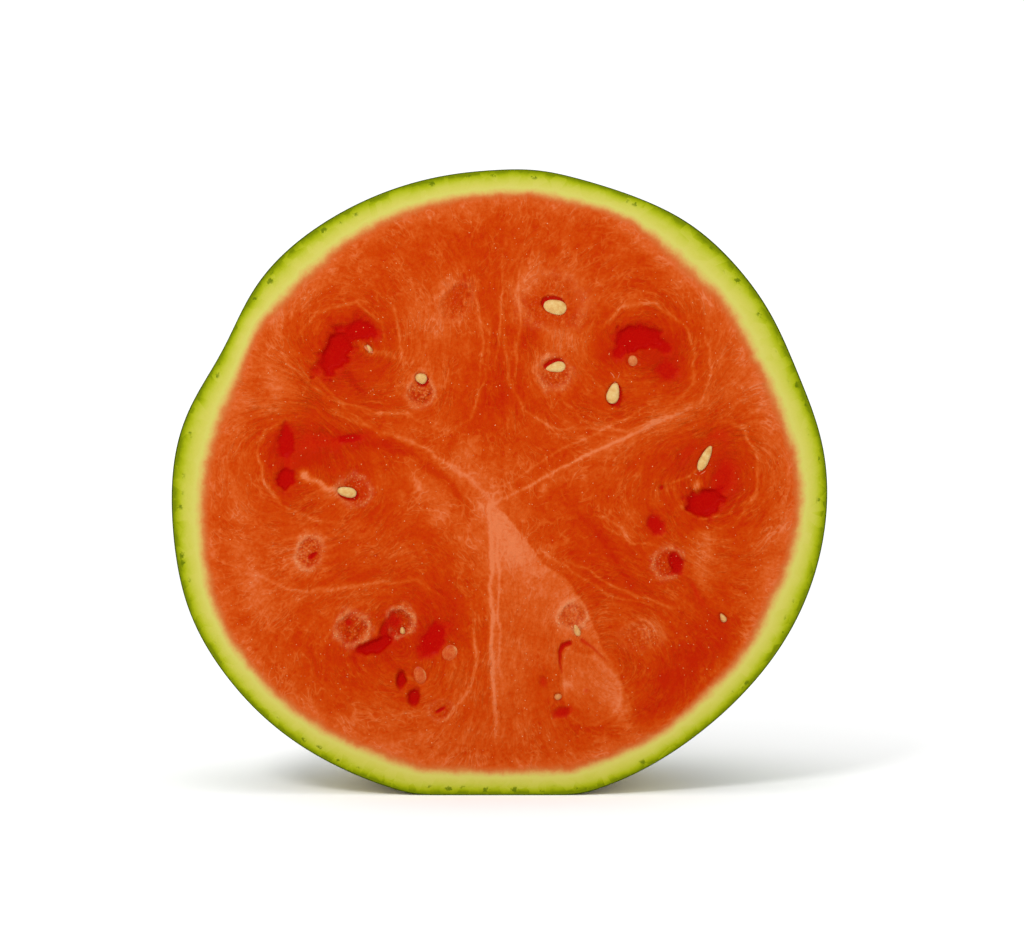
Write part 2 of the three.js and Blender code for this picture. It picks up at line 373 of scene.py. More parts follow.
# Seeds by CAD node: turn of the pointed end in degrees from +X towards +Z, how far the seed stands out
# of the cut, how much flesh veils it, how pointed it is, its length and width against its node's, and
# the side of its wet gap: 1 upper left, -1 lower right, 0 none
SEED_LOOKS = {
    "seed_01": (168, 0.45, 0.0, 0.14, 1.04, 1.04, 1),
    "seed_02": (190, 0.15, 0.0, 0.40, 1.05, 0.90, 1),
    "seed_03": (76, 0.40, 0.0, 0.30, 1.12, 1.06, -1),
    "seed_04": (95, 0.25, 0.75, 0.05, 1.00, 1.15, 0),
    "seed_05": (64, 0.55, 0.0, 0.24, 1.14, 1.65, 0),
    "seed_06": (168, 0.40, 0.0, 0.14, 1.00, 1.05, -1),
    "seed_07": (160, 0.35, 0.1, 0.20, 0.88, 0.88, -1),
    "seed_08": (120, 0.20, 0.2, 0.40, 0.90, 0.80, 0),
    "seed_09": (60, 0.22, 0.98, 0.10, 1.04, 1.25, 0),
    "seed_10": (105, 0.22, 0.98, 0.10, 1.16, 1.04, 0),
    "seed_11": (110, 0.15, 0.3, 0.30, 1.00, 0.80, 0),
    "seed_12": (20, 0.20, 0.6, 0.15, 0.80, 0.95, 0),
    "seed_13": (120, 0.25, 0.3, 0.20, 1.00, 0.90, 0),
    "seed_14": (100, 0.10, 0.2, 0.30, 0.65, 0.65, 0),
}

# How deep the bed of an unveiled seed is
SEED_BED = 0.8

# Threads that held the seeds: thickness and the points each follows
THREADS = [
    (1.4, ((67.4, 4.6), (66.7, 2.9), (66.0, 1.0))),
    (1.0, ((66.5, 2.4), (68.2, 3.0), (69.8, 4.6))),
    (0.9, ((66.5, 2.4), (65.4, 3.0), (64.2, 3.2))),
    (1.2, ((-54.2, -2.2), (-57.0, -1.4), (-59.8, -0.4))),
    (1.0, ((-54.4, -3.2), (-57.0, -3.2), (-60.2, -1.8))),
    (1.2, ((38.6, 33.2), (38.8, 35.2), (38.0, 36.9), (35.8, 37.4))),
    (1.0, ((38.8, 33.8), (40.2, 35.4), (40.4, 37.6))),
    (1.9, ((-46.2, 47.0), (-45.2, 45.2), (-43.6, 43.8), (-41.0, 43.0))),
]

NOISE_CELLS = 128

# First seed of the noise of each kind of detail
CRUMB_SEED = 120
PATCH_SEED = 160
SEAM_SEED = 200
WEDGE_SEED = 230
FLAP_SEED = 240
CRACK_SEED = 250
WAVE_SEED = 260
HOLLOW_SEED = 400
POCKET_SEED = 480
RIM_SEED = 540


def soft_noise(x, z, size, seed):
    """Smooth noise from -1 to 1 with lumps about size across."""
    table = np.random.default_rng(seed).uniform(-1, 1, (NOISE_CELLS, NOISE_CELLS))
    column = np.floor(x / size)
    row = np.floor(z / size)
    across = x / size - column
    up = z / size - row
    across = across * across * (3 - 2 * across)
    up = up * up * (3 - 2 * up)
    left = column.astype(int) % NOISE_CELLS
    low = row.astype(int) % NOISE_CELLS
    right = (left + 1) % NOISE_CELLS
    high = (low + 1) % NOISE_CELLS
    bottom = table[low, left] * (1 - across) + table[low, right] * across
    top = table[high, left] * (1 - across) + table[high, right] * across
    return bottom * (1 - up) + top * up


def rise_between(value, start, end):
    """0 before start, 1 after end and a smooth rise between them."""
    share = np.clip((value - start) / (end - start), 0, 1)
    return share * share * (3 - 2 * share)


def lumps_at(angle, lumps):
    """Sum of the soft lumps at each angle in degrees."""
    total = np.zeros_like(angle)
    for at, rise, spread in lumps:
        away = np.abs((angle - at + 180) % 360 - 180)
        total += rise * np.exp(-0.5 * (away / spread) ** 2)
    return total


def settled(height):
    """Heights below the ground become zero, and the flat spot's edge turns up softly."""
    soft = height**2 / (4 * SPOT_EDGE)
    return np.where(height <= 0, 0, np.where(height < 2 * SPOT_EDGE, soft, height - SPOT_EDGE))


ROUND = np.linspace(0, 2 * np.pi, 1440, endpoint=False)
CUT_AXIS = (HEIGHT + SETTLE) / 2 - SETTLE + SPOT_EDGE


def skin_point(turn, along, swell=1.0):
    """x, y and z on the skin: turn in radians from +X towards +Z, along from the cut to the tip."""
    half_width = WIDTH / 2 + LUMP_ROOM
    half_height = (HEIGHT + SETTLE) / 2
    angle = np.degrees(turn) % 360
    reach = 1 / np.hypot(np.cos(turn) / half_width, np.sin(turn) / half_height)
    reach = reach + lumps_at(angle, LUMPS) * (1 - (1 - LUMP_FADE) * along)
    reach = reach * swell * (1 - along**FULLNESS) ** (1 / FULLNESS)
    axis = CUT_AXIS - SAG * along
    x = reach * np.cos(turn)
    z = settled(axis + reach * np.sin(turn))
    return x, CUT_Y + DEPTH * along, z


def rim_shift():
    """How far the drawn outline has to slide to stand in the frame's box."""
    x, _, z = skin_point(ROUND, 0)
    return MIDDLE_X - (x.max() + x.min()) / 2, -z.min()


SHIFT_X, SHIFT_Z = rim_shift()


def outline_reach(angle):
    """Distance from the face's middle to the skin at each angle in degrees."""
    x, _, z = skin_point(ROUND, 0)
    x = x + SHIFT_X - MIDDLE_X
    z = z + SHIFT_Z - MIDDLE_Z
    around = np.degrees(np.arctan2(z, x)) % 360
    order = np.argsort(around)
    return np.interp(angle, around[order], np.hypot(x, z)[order], period=360)


def spot_reach(x, z, spot, ragged=0.0, seed=0):
    """0 in the middle of an oval spot and 1 on its edge, which can be ragged."""
    spot_x, spot_z, long, wide, turn = spot[:5]
    across = math.cos(math.radians(turn))
    up = math.sin(math.radians(turn))
    right = x - spot_x
    above = z - spot_z
    lengthwise = (right * across + above * up) / (long / 2)
    sidewise = (above * across - right * up) / (wide / 2)
    reach = np.hypot(lengthwise, sidewise)
    if ragged:
        waves = soft_noise(x, z, 1.8, seed) + soft_noise(x, z, 4, seed + 1)
        waves = waves + 0.6 * soft_noise(x, z, 0.9, seed + 2)
        reach = reach * (1 + ragged * waves)
    return reach


def path_distance(x, z, points):
    """Distance to a line through the points, and each point's share of the way along it."""
    nearest = np.full(x.shape, 1e9)
    share = np.zeros(x.shape)
    steps = len(points) - 1
    for step in range(steps):
        start = np.array(points[step])
        way = np.array(points[step + 1]) - start
        along = ((x - start[0]) * way[0] + (z - start[1]) * way[1]) / (way @ way)
        along = np.clip(along, 0, 1)
        away = np.hypot(x - start[0] - along * way[0], z - start[1] - along * way[1])
        closer = away < nearest
        nearest = np.where(closer, away, nearest)
        share = np.where(closer, (step + along) / steps, share)
    return nearest, share


def inside_loop(x, z, points):
    """Distance to a closed outline, above 0 inside it."""
    inside = np.zeros(x.shape, bool)
    for (start_x, start_z), (end_x, end_z) in zip(points, points[1:] + points[:1]):
        crosses = (start_z > z) != (end_z > z)
        rise = end_z - start_z if end_z != start_z else 1e-9
        inside ^= crosses & (x < start_x + (z - start_z) * (end_x - start_x) / rise)
    away, _ = path_distance(x, z, points + points[:1])
    return np.where(inside, away, -away)


def fibre_field(x, z):
    """A number whose level lines are the fibres: they curl round the seed groups and run along the seams."""
    x = x + 3.0 * soft_noise(x, z, 22, 11) + 1.0 * soft_noise(x, z, 7, 12)
    z = z + 3.0 * soft_noise(x, z, 22, 13) + 1.0 * soft_noise(x, z, 7, 14)
    total = np.zeros_like(x)
    for group_x, group_z, sign in SEED_GROUPS:
        total += sign * np.log((x - group_x) ** 2 + (z - group_z) ** 2 + 12.0)
    return np.sign(total) * (1 - np.exp(-np.abs(total) / 4)) * 33


class CutFace:
    """Depths and masks of the cut face at the given places, in millimetres from its middle.

    tone is how much paler the flesh is, and also holds a painted shadow just outside the torn flap and a
    painted highlight on its left edge, wet how wet and red, scar how crumbled the floor of a pocket, bead
    how granular its rim, smooth how little the fibres show.
    """

    MASKS = ("tone", "wet", "scar", "bead", "smooth")

    def __init__(self, x, z):
        self.x = x * DRAWN_WIDTH / WIDTH
        self.z = z * DRAWN_HEIGHT / HEIGHT
        for name in ("depth", *self.MASKS):
            setattr(self, name, np.zeros_like(x))
        angle = np.degrees(np.arctan2(z, x)) % 360
        self.skin_depth = outline_reach(angle) - np.hypot(x, z)
        self.rind_share = self.skin_depth / (RIND + lumps_at(angle, RIND_SWELLS))
        self.fibre = fibre_field(self.x, self.z)

    def press(self, deep, wetness=0.0):
        """Presses the face at least this deep and makes it at least this wet."""
        self.depth = np.maximum(self.depth, deep)
        self.wet = np.maximum(self.wet, wetness)

    def wet_hollows(self):
        for number, spot in enumerate(WET_HOLLOWS):
            long, _, _, deep, wetness = spot[2:]
            reach = spot_reach(self.x, self.z, spot, 0.18, HOLLOW_SEED + 2 * number)
            inside = 1 - rise_between(reach, 0.45, 1.1)
            self.depth = np.cbrt(self.depth**3 + (deep * inside) ** 3)
            soaked = wetness * (1 - rise_between(reach, 0.9 * wetness - 0.3, 1.14))
            self.wet = 1 - (1 - self.wet) * (1 - soaked)
            if long > 7.5:
                self.tone -= 0.52 * wetness * np.exp(-((reach / 1.7) ** 2))

    def pockets(self):
        for number, pocket in enumerate(POCKETS):
            deep, rim, scarred, beaded = pocket[5:]
            reach = spot_reach(self.x, self.z, pocket, 0.09, POCKET_SEED + 3 * number)
            inside = 1 - rise_between(reach, 0.62, 0.98)
            patchy = np.clip(0.8 + 0.7 * soft_noise(self.x, self.z, 2.2, RIM_SEED + number), 0, 1.5)
            ring = np.exp(-(((reach - 1) / 0.13) ** 2)) * patchy
            second = np.exp(-(((reach - 1.28) / 0.12) ** 2)) * 0.45
            crumbs = soft_noise(self.x, self.z, 0.8, CRUMB_SEED + number)
            self.depth += inside * deep * (1 + 0.35 * crumbs) - 0.16 * rim * ring
            self.tone += rim * (0.60 * ring + 0.40 * second)
            self.scar = np.maximum(self.scar, scarred * inside)
            broad = np.exp(-(((reach - 0.95) / 0.17) ** 2)) * np.clip(patchy, 0, 1)
            self.bead = np.maximum(self.bead, beaded * broad)

    def patches(self):
        for number, patch in enumerate(PATCHES):
            reach = spot_reach(self.x, self.z, patch, 0.1, PATCH_SEED + number)
            spread = np.exp(-(reach**2) * 1.1)
            self.tone += patch[5] * spread
            if patch[5] > 1.5:
                self.wet *= 1 - np.clip(1.6 * spread, 0, 1)

    def seams(self):
        for number, (half_width, paleness, points) in enumerate(SEAMS):
            wobble = 0.7 * soft_noise(self.x, self.z, 5, SEAM_SEED + number)
            away, share = path_distance(self.x + wobble, self.z + wobble, points)
            fade = np.sin(np.pi * np.clip(share * 0.9 + 0.08, 0, 1)) ** 0.5
            line = np.exp(-((away / half_width) ** 2)) * fade
            self.tone += paleness * line * (1.6 if half_width < 1 else 1)
            self.depth -= 0.12 * line * paleness

    def wedge(self):
        edge_x, edge_z = np.array(WEDGE_EDGE).T
        wobble = 0.5 * soft_noise(self.x, self.z, 3, WEDGE_SEED)
        within = np.interp(-self.z, -edge_z, edge_x) + wobble - self.x
        inside = rise_between(self.x, -3.0, -1.6) * rise_between(within, -0.35, 0.35)
        inside = inside * rise_between(self.z, -84, -66) * rise_between(-self.z, 8, 11)
        top = rise_between(self.z, -72, -14)
        self.tone += inside * (0.32 + 0.18 * top + 0.22 * np.exp(-((within / 5.0) ** 2)))
        outside = (1 - inside) * rise_between(self.z, -66, -50)
        self.tone -= 0.18 * np.exp(-(((within + 1.0) / 0.9) ** 2)) * outside
        self.depth -= WEDGE_STEP * inside
        self.smooth = 0.75 * inside

    def flap(self):
        wobble = 0.25 * soft_noise(self.x, self.z, 2.5, FLAP_SEED)
        within = inside_loop(self.x, self.z, FLAP_EDGE) + wobble
        sheet = rise_between(within, -0.15, 0.35)
        self.depth -= FLAP_LIFT * sheet
        # Pale lines along the flap's edge, and the painted shadow just outside it.
        for inset, paleness in FLAP_LINES_AND_SHADOW:
            self.tone += paleness * np.exp(-(((within - inset) / 0.5) ** 2))
        self.tone += 0.12 * sheet
        self.smooth = np.maximum(self.smooth, sheet)

    def cracks(self):
        for number, (half_width, deep, wetness, points) in enumerate(CRACKS):
            wobble = 0.22 * soft_noise(self.x, self.z, 2.0, CRACK_SEED + number)
            away, share = path_distance(self.x + wobble, self.z - wobble, points)
            width = half_width * (1 - 0.85 * share)
            inside = (1 - rise_between(away, width * 0.2, width * 1.1 + 0.35)) * (1 - 0.6 * share**2)
            self.press(deep * inside, wetness * inside)

    def seed_beds(self):
        x = self.x * WIDTH / DRAWN_WIDTH
        z = self.z * HEIGHT / DRAWN_HEIGHT
        for name in SEED_LOOKS:
            seed = SeedShape(name)
            away = seed.away(x, z)
            self.press(SEED_BED * (1 - 0.55 * seed.veil) * (1 - rise_between(away, 0.0, 0.5)))
            if seed.gap_side:
                gap_x = x + seed.gap_side * seed.long * 0.10
                gap_z = z - seed.gap_side * seed.wide * 0.20
                gap = 1 - rise_between(seed.away(gap_x, gap_z), 0.0, 0.5)
                self.press(gap, 0.8 * gap)
            self.tone += 0.12 * np.exp(-((away / 2.2) ** 2))

    def undulation(self):
        waves = 0.16 * soft_noise(self.x, self.z, 9, WAVE_SEED)
        waves = waves + 0.07 * soft_noise(self.x, self.z, 2.6, WAVE_SEED + 1)
        flesh = rise_between(self.rind_share, 0.8, 1.6)
        self.depth += flesh * (0.22 + waves * (1 - 0.6 * self.smooth))

    def finish(self):
        for part in (self.wedge, self.flap, self.pockets, self.wet_hollows, self.cracks, self.seed_beds,
                     self.patches, self.seams, self.undulation):
            part()
        return self


class SeedShape:
    """A seed's place and size, from its CAD node's box and its turn."""

    def __init__(self, name):
        low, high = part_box(name)
        turn, self.proud, self.veil, self.point, longer, wider, self.gap_side = SEED_LOOKS[name]
        self.turn = math.radians(turn)
        self.x = (low.x + high.x) / 2 / MM - MIDDLE_X
        self.z = (low.z + high.z) / 2 / MM - MIDDLE_Z
        self.thick = (high.y - low.y) / MM
        box_x = (high.x - low.x) / MM
        box_z = (high.z - low.z) / MM
        across = math.cos(self.turn) ** 2
        up = math.sin(self.turn) ** 2
        spread = across - up
        if abs(spread) > 0.3:
            # The box of a turned oval gives back the oval's own size
            self.long = math.sqrt(max(1, (across * box_x**2 - up * box_z**2) / spread))
            self.wide = math.sqrt(max(1, (across * box_z**2 - up * box_x**2) / spread))
        else:
            # Near 45 degrees it can't, so the size is taken from the box itself
            self.long = 1.12 * max(box_x, box_z)
            self.wide = 0.82 * min(box_x, box_z)
        self.long, self.wide = max(self.long, self.wide) * longer, min(self.long, self.wide) * wider

    def half_width(self, lengthwise):
        """Half the seed's width at each share of its half length, with the pointed end at +1."""
        round_part = np.clip(1 - np.abs(lengthwise) ** 2.6, 0, 1) ** 0.45
        taper = 1 - self.point * np.clip(lengthwise + 0.3, 0, 1.3)
        return self.wide / 2 * round_part * taper

    def away(self, x, z):
        """Rough distance outside the seed's outline, in millimetres, below 0 inside it."""
        right = x - self.x
        above = z - self.z
        lengthwise = (right * math.cos(self.turn) + above * math.sin(self.turn)) / (self.long / 2)
        sidewise = np.abs(above * math.cos(self.turn) - right * math.sin(self.turn))
        past = np.clip(np.abs(lengthwise) - 1, 0, None) * self.long / 2
        return np.hypot(np.clip(sidewise - self.half_width(np.clip(lengthwise, -1, 1)), 0, None), past)


# ---- The melon's mesh ----

FACE_CELLS = 150
SKIN_RINGS = 26

# Middle and radius of each round island of the layout
FACE_ISLAND = (0.345, 0.335)
SKIN_ISLAND = (0.765, 0.225)

# Millimetres inside the skin over which the relief fades out to a flat rim
FLAT_RIM = 2.5


def square_to_disc(across, up):
    """Points of the square -1 to 1 moved onto the round disc, with cells of nearly one size."""
    reach = np.maximum(np.abs(across), np.abs(up))
    other = np.minimum(np.abs(across), np.abs(up))
    lean = np.divide(other, reach, out=np.zeros_like(reach), where=reach > 0) * (math.pi / 4)
    wide = np.abs(across) >= np.abs(up)
    disc_x = reach * np.where(wide, np.cos(lean), np.sin(lean)) * np.sign(across)
    disc_z = reach * np.where(wide, np.sin(lean), np.cos(lean)) * np.sign(up)
    return disc_x, disc_z


def face_sheet(cells):
    """The flat cut face as quads, in millimetres from its middle, with its rim's places and turns."""
    steps = np.linspace(-1, 1, cells + 1)
    disc_x, disc_z = square_to_disc(*np.meshgrid(steps, steps))
    turn = np.arctan2(disc_z, disc_x)
    out = np.hypot(disc_x, disc_z)
    rim_x, _, rim_z = skin_point(turn, 0)
    x = (rim_x + SHIFT_X - MIDDLE_X) * out
    z = (rim_z + SHIFT_Z - MIDDLE_Z) * out
    sheet = bmesh.new()
    count = cells + 1
    verts = [sheet.verts.new((x.flat[i], 0, z.flat[i])) for i in range(count * count)]
    for row in range(cells):
        for col in range(cells):
            corner = row * count + col
            sheet.faces.new([verts[corner + step] for step in (0, 1, count + 1, count)])
    bottom = list(range(cells))
    right = [row * count + cells for row in range(cells)]
    top = [cells * count + col for col in range(cells, 0, -1)]
    left = [row * count for row in range(cells, 0, -1)]
    order = bottom + right + top + left
    return sheet, [tuple(verts[i].co) for i in order], turn.flat[order]


def detail_at(x, z):
    """True where the face needs cells a third as wide."""
    face = CutFace(x, z)
    needed = np.zeros(x.shape, bool)
    for spot in WET_HOLLOWS:
        needed |= spot_reach(face.x, face.z, spot) < 1.25 + 1.2 / spot[3]
    for spot in POCKETS:
        needed |= spot_reach(face.x, face.z, spot) < 1.35
    for name in SEED_LOOKS:
        needed |= SeedShape(name).away(x, z) < 1.4
    for half_width, _, points in SEAMS:
        if half_width < 2:
            needed |= path_distance(face.x, face.z, points)[0] < half_width + 0.9
    for half_width, _, _, points in CRACKS:
        needed |= path_distance(face.x, face.z, points)[0] < half_width + 1.2
    needed |= path_distance(face.x, face.z, WEDGE_EDGE)[0] < 1.5
    needed |= np.abs(inside_loop(face.x, face.z, FLAP_EDGE)) < 1.4
    return needed


def refine(sheet):
    """Cuts the cells near the face's details in three, each way."""
    sheet.edges.index_update()
    middles = np.array([face.calc_center_median() for face in sheet.faces])
    needed = detail_at(middles[:, 0], middles[:, 2])
    chosen = {}
    for face, fine in zip(sheet.faces, needed):
        if fine:
            chosen.update((edge.index, edge) for edge in face.edges if not edge.is_boundary)
    edges = [chosen[index] for index in sorted(chosen)]
    bmesh.ops.subdivide_edges(sheet, edges=edges, cuts=2, use_grid_fill=True)


def skin_ring(turn, step):
    """Places on the skin at a step from 0, the rim, to 1, the tip, in millimetres of the frame."""
    share = step - 0.12 * math.sin(2 * math.pi * step)
    along = min(1.0, math.sin(share * math.pi / 2) ** (2 / FULLNESS)) if step else 0.0
    swell = 1 + 0.0035 * math.sin(math.pi * share) * (np.cos(5 * turn + 1.3) + 0.6 * np.cos(9 * turn + 0.4))
    x, y, z = skin_point(turn, along, swell)
    return x + SHIFT_X, y, z + SHIFT_Z


def close_with_skin(sheet, rim, turn):
    """Rings of skin from the rim to one vertex at the tip. Returns each new vertex's step and turn."""
    placed = []
    before = rim
    for ring in range(1, SKIN_RINGS + 1):
        step = ring / SKIN_RINGS
        x, y, z = skin_ring(turn, step)
        if ring == SKIN_RINGS:
            tip = sheet.verts.new((x[0], y, z[0]))
            fresh = [tip] * len(rim)
            placed.append((step, 0.0))
        else:
            fresh = [sheet.verts.new(place) for place in zip(x, [y] * len(x), z)]
            placed += [(step, angle) for angle in turn]
        for i in range(len(rim)):
            corners = [before[i - 1], before[i], fresh[i], fresh[i - 1]]
            face = sheet.faces.new(corners if ring < SKIN_RINGS else corners[:3])
            face.material_index = 1
        before = fresh
    return placed


def finished_mesh(name, sheet):
    """A mesh in metres from a bmesh in millimetres."""
    bmesh.ops.scale(sheet, vec=(MM, MM, MM), verts=sheet.verts)
    mesh = bpy.data.meshes.new(name)
    sheet.to_mesh(mesh)
    sheet.free()
    return mesh


def ringed_mesh(name, rings, poles):
    """A smooth closed mesh from rings of places and the pole beyond the first and the last ring."""
    shell = bmesh.new()
    rings = [[shell.verts.new(place) for place in ring] for ring in rings]
    sides = range(len(rings[0]))
    for before, after in zip(rings, rings[1:]):
        for side in sides:
            shell.faces.new((before[side - 1], before[side], after[side], after[side - 1]))
    for ring, pole in zip((rings[0], rings[-1]), poles):
        tip = shell.verts.new(pole)
        for side in sides:
            shell.faces.new((ring[side - 1], ring[side], tip))
    bmesh.ops.recalc_face_normals(shell, faces=shell.faces)
    for polygon in shell.faces:
        polygon.smooth = True
    return finished_mesh(name, shell)


def melon_mesh():
    """The closed mesh of the melon, its cut face pressed into shape, with what its materials read."""
    sheet, rim_places, turn = face_sheet(FACE_CELLS)
    refine(sheet)
    at_rim = {tuple(vert.co): vert for vert in sheet.verts if vert.is_boundary}
    rim = [at_rim[place] for place in rim_places]
    flat = np.array([vert.co for vert in sheet.verts])
    face = CutFace(flat[:, 0], flat[:, 2]).finish()
    inset = face.depth * rise_between(face.skin_depth, 0.0, FLAT_RIM)
    for vert, inward in zip(sheet.verts, inset):
        vert.co = (vert.co.x + MIDDLE_X, CUT_Y + inward, vert.co.z + MIDDLE_Z)
    placed = close_with_skin(sheet, rim, turn)
    sheet.normal_update()
    for polygon in sheet.faces:
        polygon.smooth = True
    for vert in rim:
        for edge in vert.link_edges:
            kinds = {polygon.material_index for polygon in edge.link_faces}
            edge.smooth = len(kinds) == 1
    sheet.verts.index_update()
    rim_index = [vert.index for vert in rim]
    mesh = finished_mesh("watermelon_half", sheet)
    skin_values = np.zeros(len(placed))
    for name in ("rind_share", "fibre", *CutFace.MASKS):
        values = np.concatenate([getattr(face, name), skin_values])
        mesh.attributes.new(name, "FLOAT", "POINT").data.foreach_set("value", values)
    lay_out(mesh, flat, rim_index, turn, placed)
    return mesh


def lay_out(mesh, flat, rim_index, turn, placed):
    """Two round islands: the cut face, and the skin seen from its tip."""
    count = len(mesh.vertices)
    step = np.zeros(count)
    angle = np.zeros(count)
    angle[rim_index] = turn
    step[len(flat):] = [item[0] for item in placed]
    angle[len(flat):] = [item[1] for item in placed]
    face_uv = np.zeros((count, 2))
    middle, radius = FACE_ISLAND
    face_uv[: len(flat), 0] = middle + radius * flat[:, 0] / (WIDTH / 2)
    face_uv[: len(flat), 1] = middle + radius * flat[:, 2] / (WIDTH / 2)
    middle, radius = SKIN_ISLAND
    skin_uv = middle + radius * (1 - step)[:, None] * np.stack([-np.cos(angle), np.sin(angle)], axis=1)
    corners = np.zeros(len(mesh.loops), int)
    mesh.loops.foreach_get("vertex_index", corners)
    sides = np.zeros(len(mesh.polygons), int)
    totals = np.zeros(len(mesh.polygons), int)
    mesh.polygons.foreach_get("material_index", sides)
    mesh.polygons.foreach_get("loop_total", totals)
    on_skin = np.repeat(sides, totals) == 1
    uv = np.where(on_skin[:, None], skin_uv[corners], face_uv[corners])
    mesh.uv_layers.new(name="OFBake").data.foreach_set("uv", uv.ravel())


def add_piece(name, mesh, slot, *materials):
    """An object of the frame's body, with its materials. The slot is not used."""
    old = bpy.data.objects.get(name)
    if old:
        bpy.data.objects.remove(old)
    piece = bpy.data.objects.new(name, mesh)
    bpy.context.scene.collection.objects.link(piece)
    if len(mesh.materials):
        mesh.materials.clear()
    for material in materials:
        mesh.materials.append(material)
    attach(piece, "root")
    return piece


# ---- Seeds ----

SEED_RINGS = 22
SEED_SIDES = 20
SEED_SINK = 0.3


def seed_mesh(name):
    """A flat drop with a pointed end, a raised edge and a fuller middle, lying in its bed."""
    shape = SeedShape(name)
    lengthwise = Vector((math.cos(shape.turn), 0, math.sin(shape.turn)))
    sideways = Vector((-math.sin(shape.turn), 0, math.cos(shape.turn)))
    outward = Vector((0, -1, 0))
    sunk = CUT_Y + shape.thick / 2 + SEED_SINK - shape.proud
    middle = Vector((shape.x + MIDDLE_X, sunk, shape.z + MIDDLE_Z))
    rings = []
    for ring in range(1, SEED_RINGS):
        share = -math.cos(math.pi * ring / SEED_RINGS)
        half_width = float(shape.half_width(np.float64(share)))
        half_thick = shape.thick / 2 * (1 - share**2) ** 0.4 * (1 - 0.25 * max(0, share))
        centre = middle + lengthwise * (share * shape.long / 2)
        row = []
        for side in range(SEED_SIDES):
            angle = 2 * math.pi * side / SEED_SIDES
            across = math.cos(angle)
            rise = abs(math.sin(angle)) ** 0.8 * math.copysign(1, math.sin(angle))
            edge = 1 - 0.10 * math.exp(-(((abs(across) - 0.80) / 0.10) ** 2))
            row.append(centre + sideways * (half_width * across) + outward * (half_thick * rise * edge))
        rings.append(row)
    ends = [middle + lengthwise * (end * shape.long / 2) for end in (-1, 1)]
    mesh = ringed_mesh(name.replace("seed", "melon_seed"), rings, ends)
    veil = np.full(len(mesh.vertices), shape.veil)
    # Painted highlight: on the most veiled seeds the veil thins towards the upper right, so the pale coat
    # shows there as a lit crescent.
    if shape.veil > 0.8:
        right = np.array([vertex.co.x / MM - middle.x for vertex in mesh.vertices]) / (shape.wide / 2)
        above = np.array([vertex.co.z / MM - middle.z for vertex in mesh.vertices]) / (shape.long / 2)
        veil = veil * (1 - 0.45 * rise_between(0.85 * right + 0.4 * above, 0.45, 0.85))
    mesh.attributes.new("veil", "FLOAT", "POINT").data.foreach_set("value", veil)
    return mesh


# ---- Finishes ----

# The surface's own colour against the colour it shows in the studio's bright light
LIGHT_SHARE = 0.68


def shown(red, green, blue):
    """A colour given as it should show, from 0 to 255, as the surface's own colour in linear light."""
    linear = []
    for level in (red, green, blue):
        level = level / 255
        level = level / 12.92 if level < 0.04045 else ((level + 0.055) / 1.055) ** 2.4
        linear.append(level * LIGHT_SHARE)
    return tuple(linear)


class Value:
    """An output of a material's node. Sums, differences and products of values add their own nodes."""

    def __init__(self, finish, socket):
        self.finish = finish
        self.socket = socket

    def __add__(self, other):
        return self.finish.math("ADD", self, other)

    def __sub__(self, other):
        return self.finish.math("SUBTRACT", self, other)

    def __rsub__(self, other):
        return self.finish.math("SUBTRACT", other, self)

    def __mul__(self, other):
        return self.finish.math("MULTIPLY", self, other)


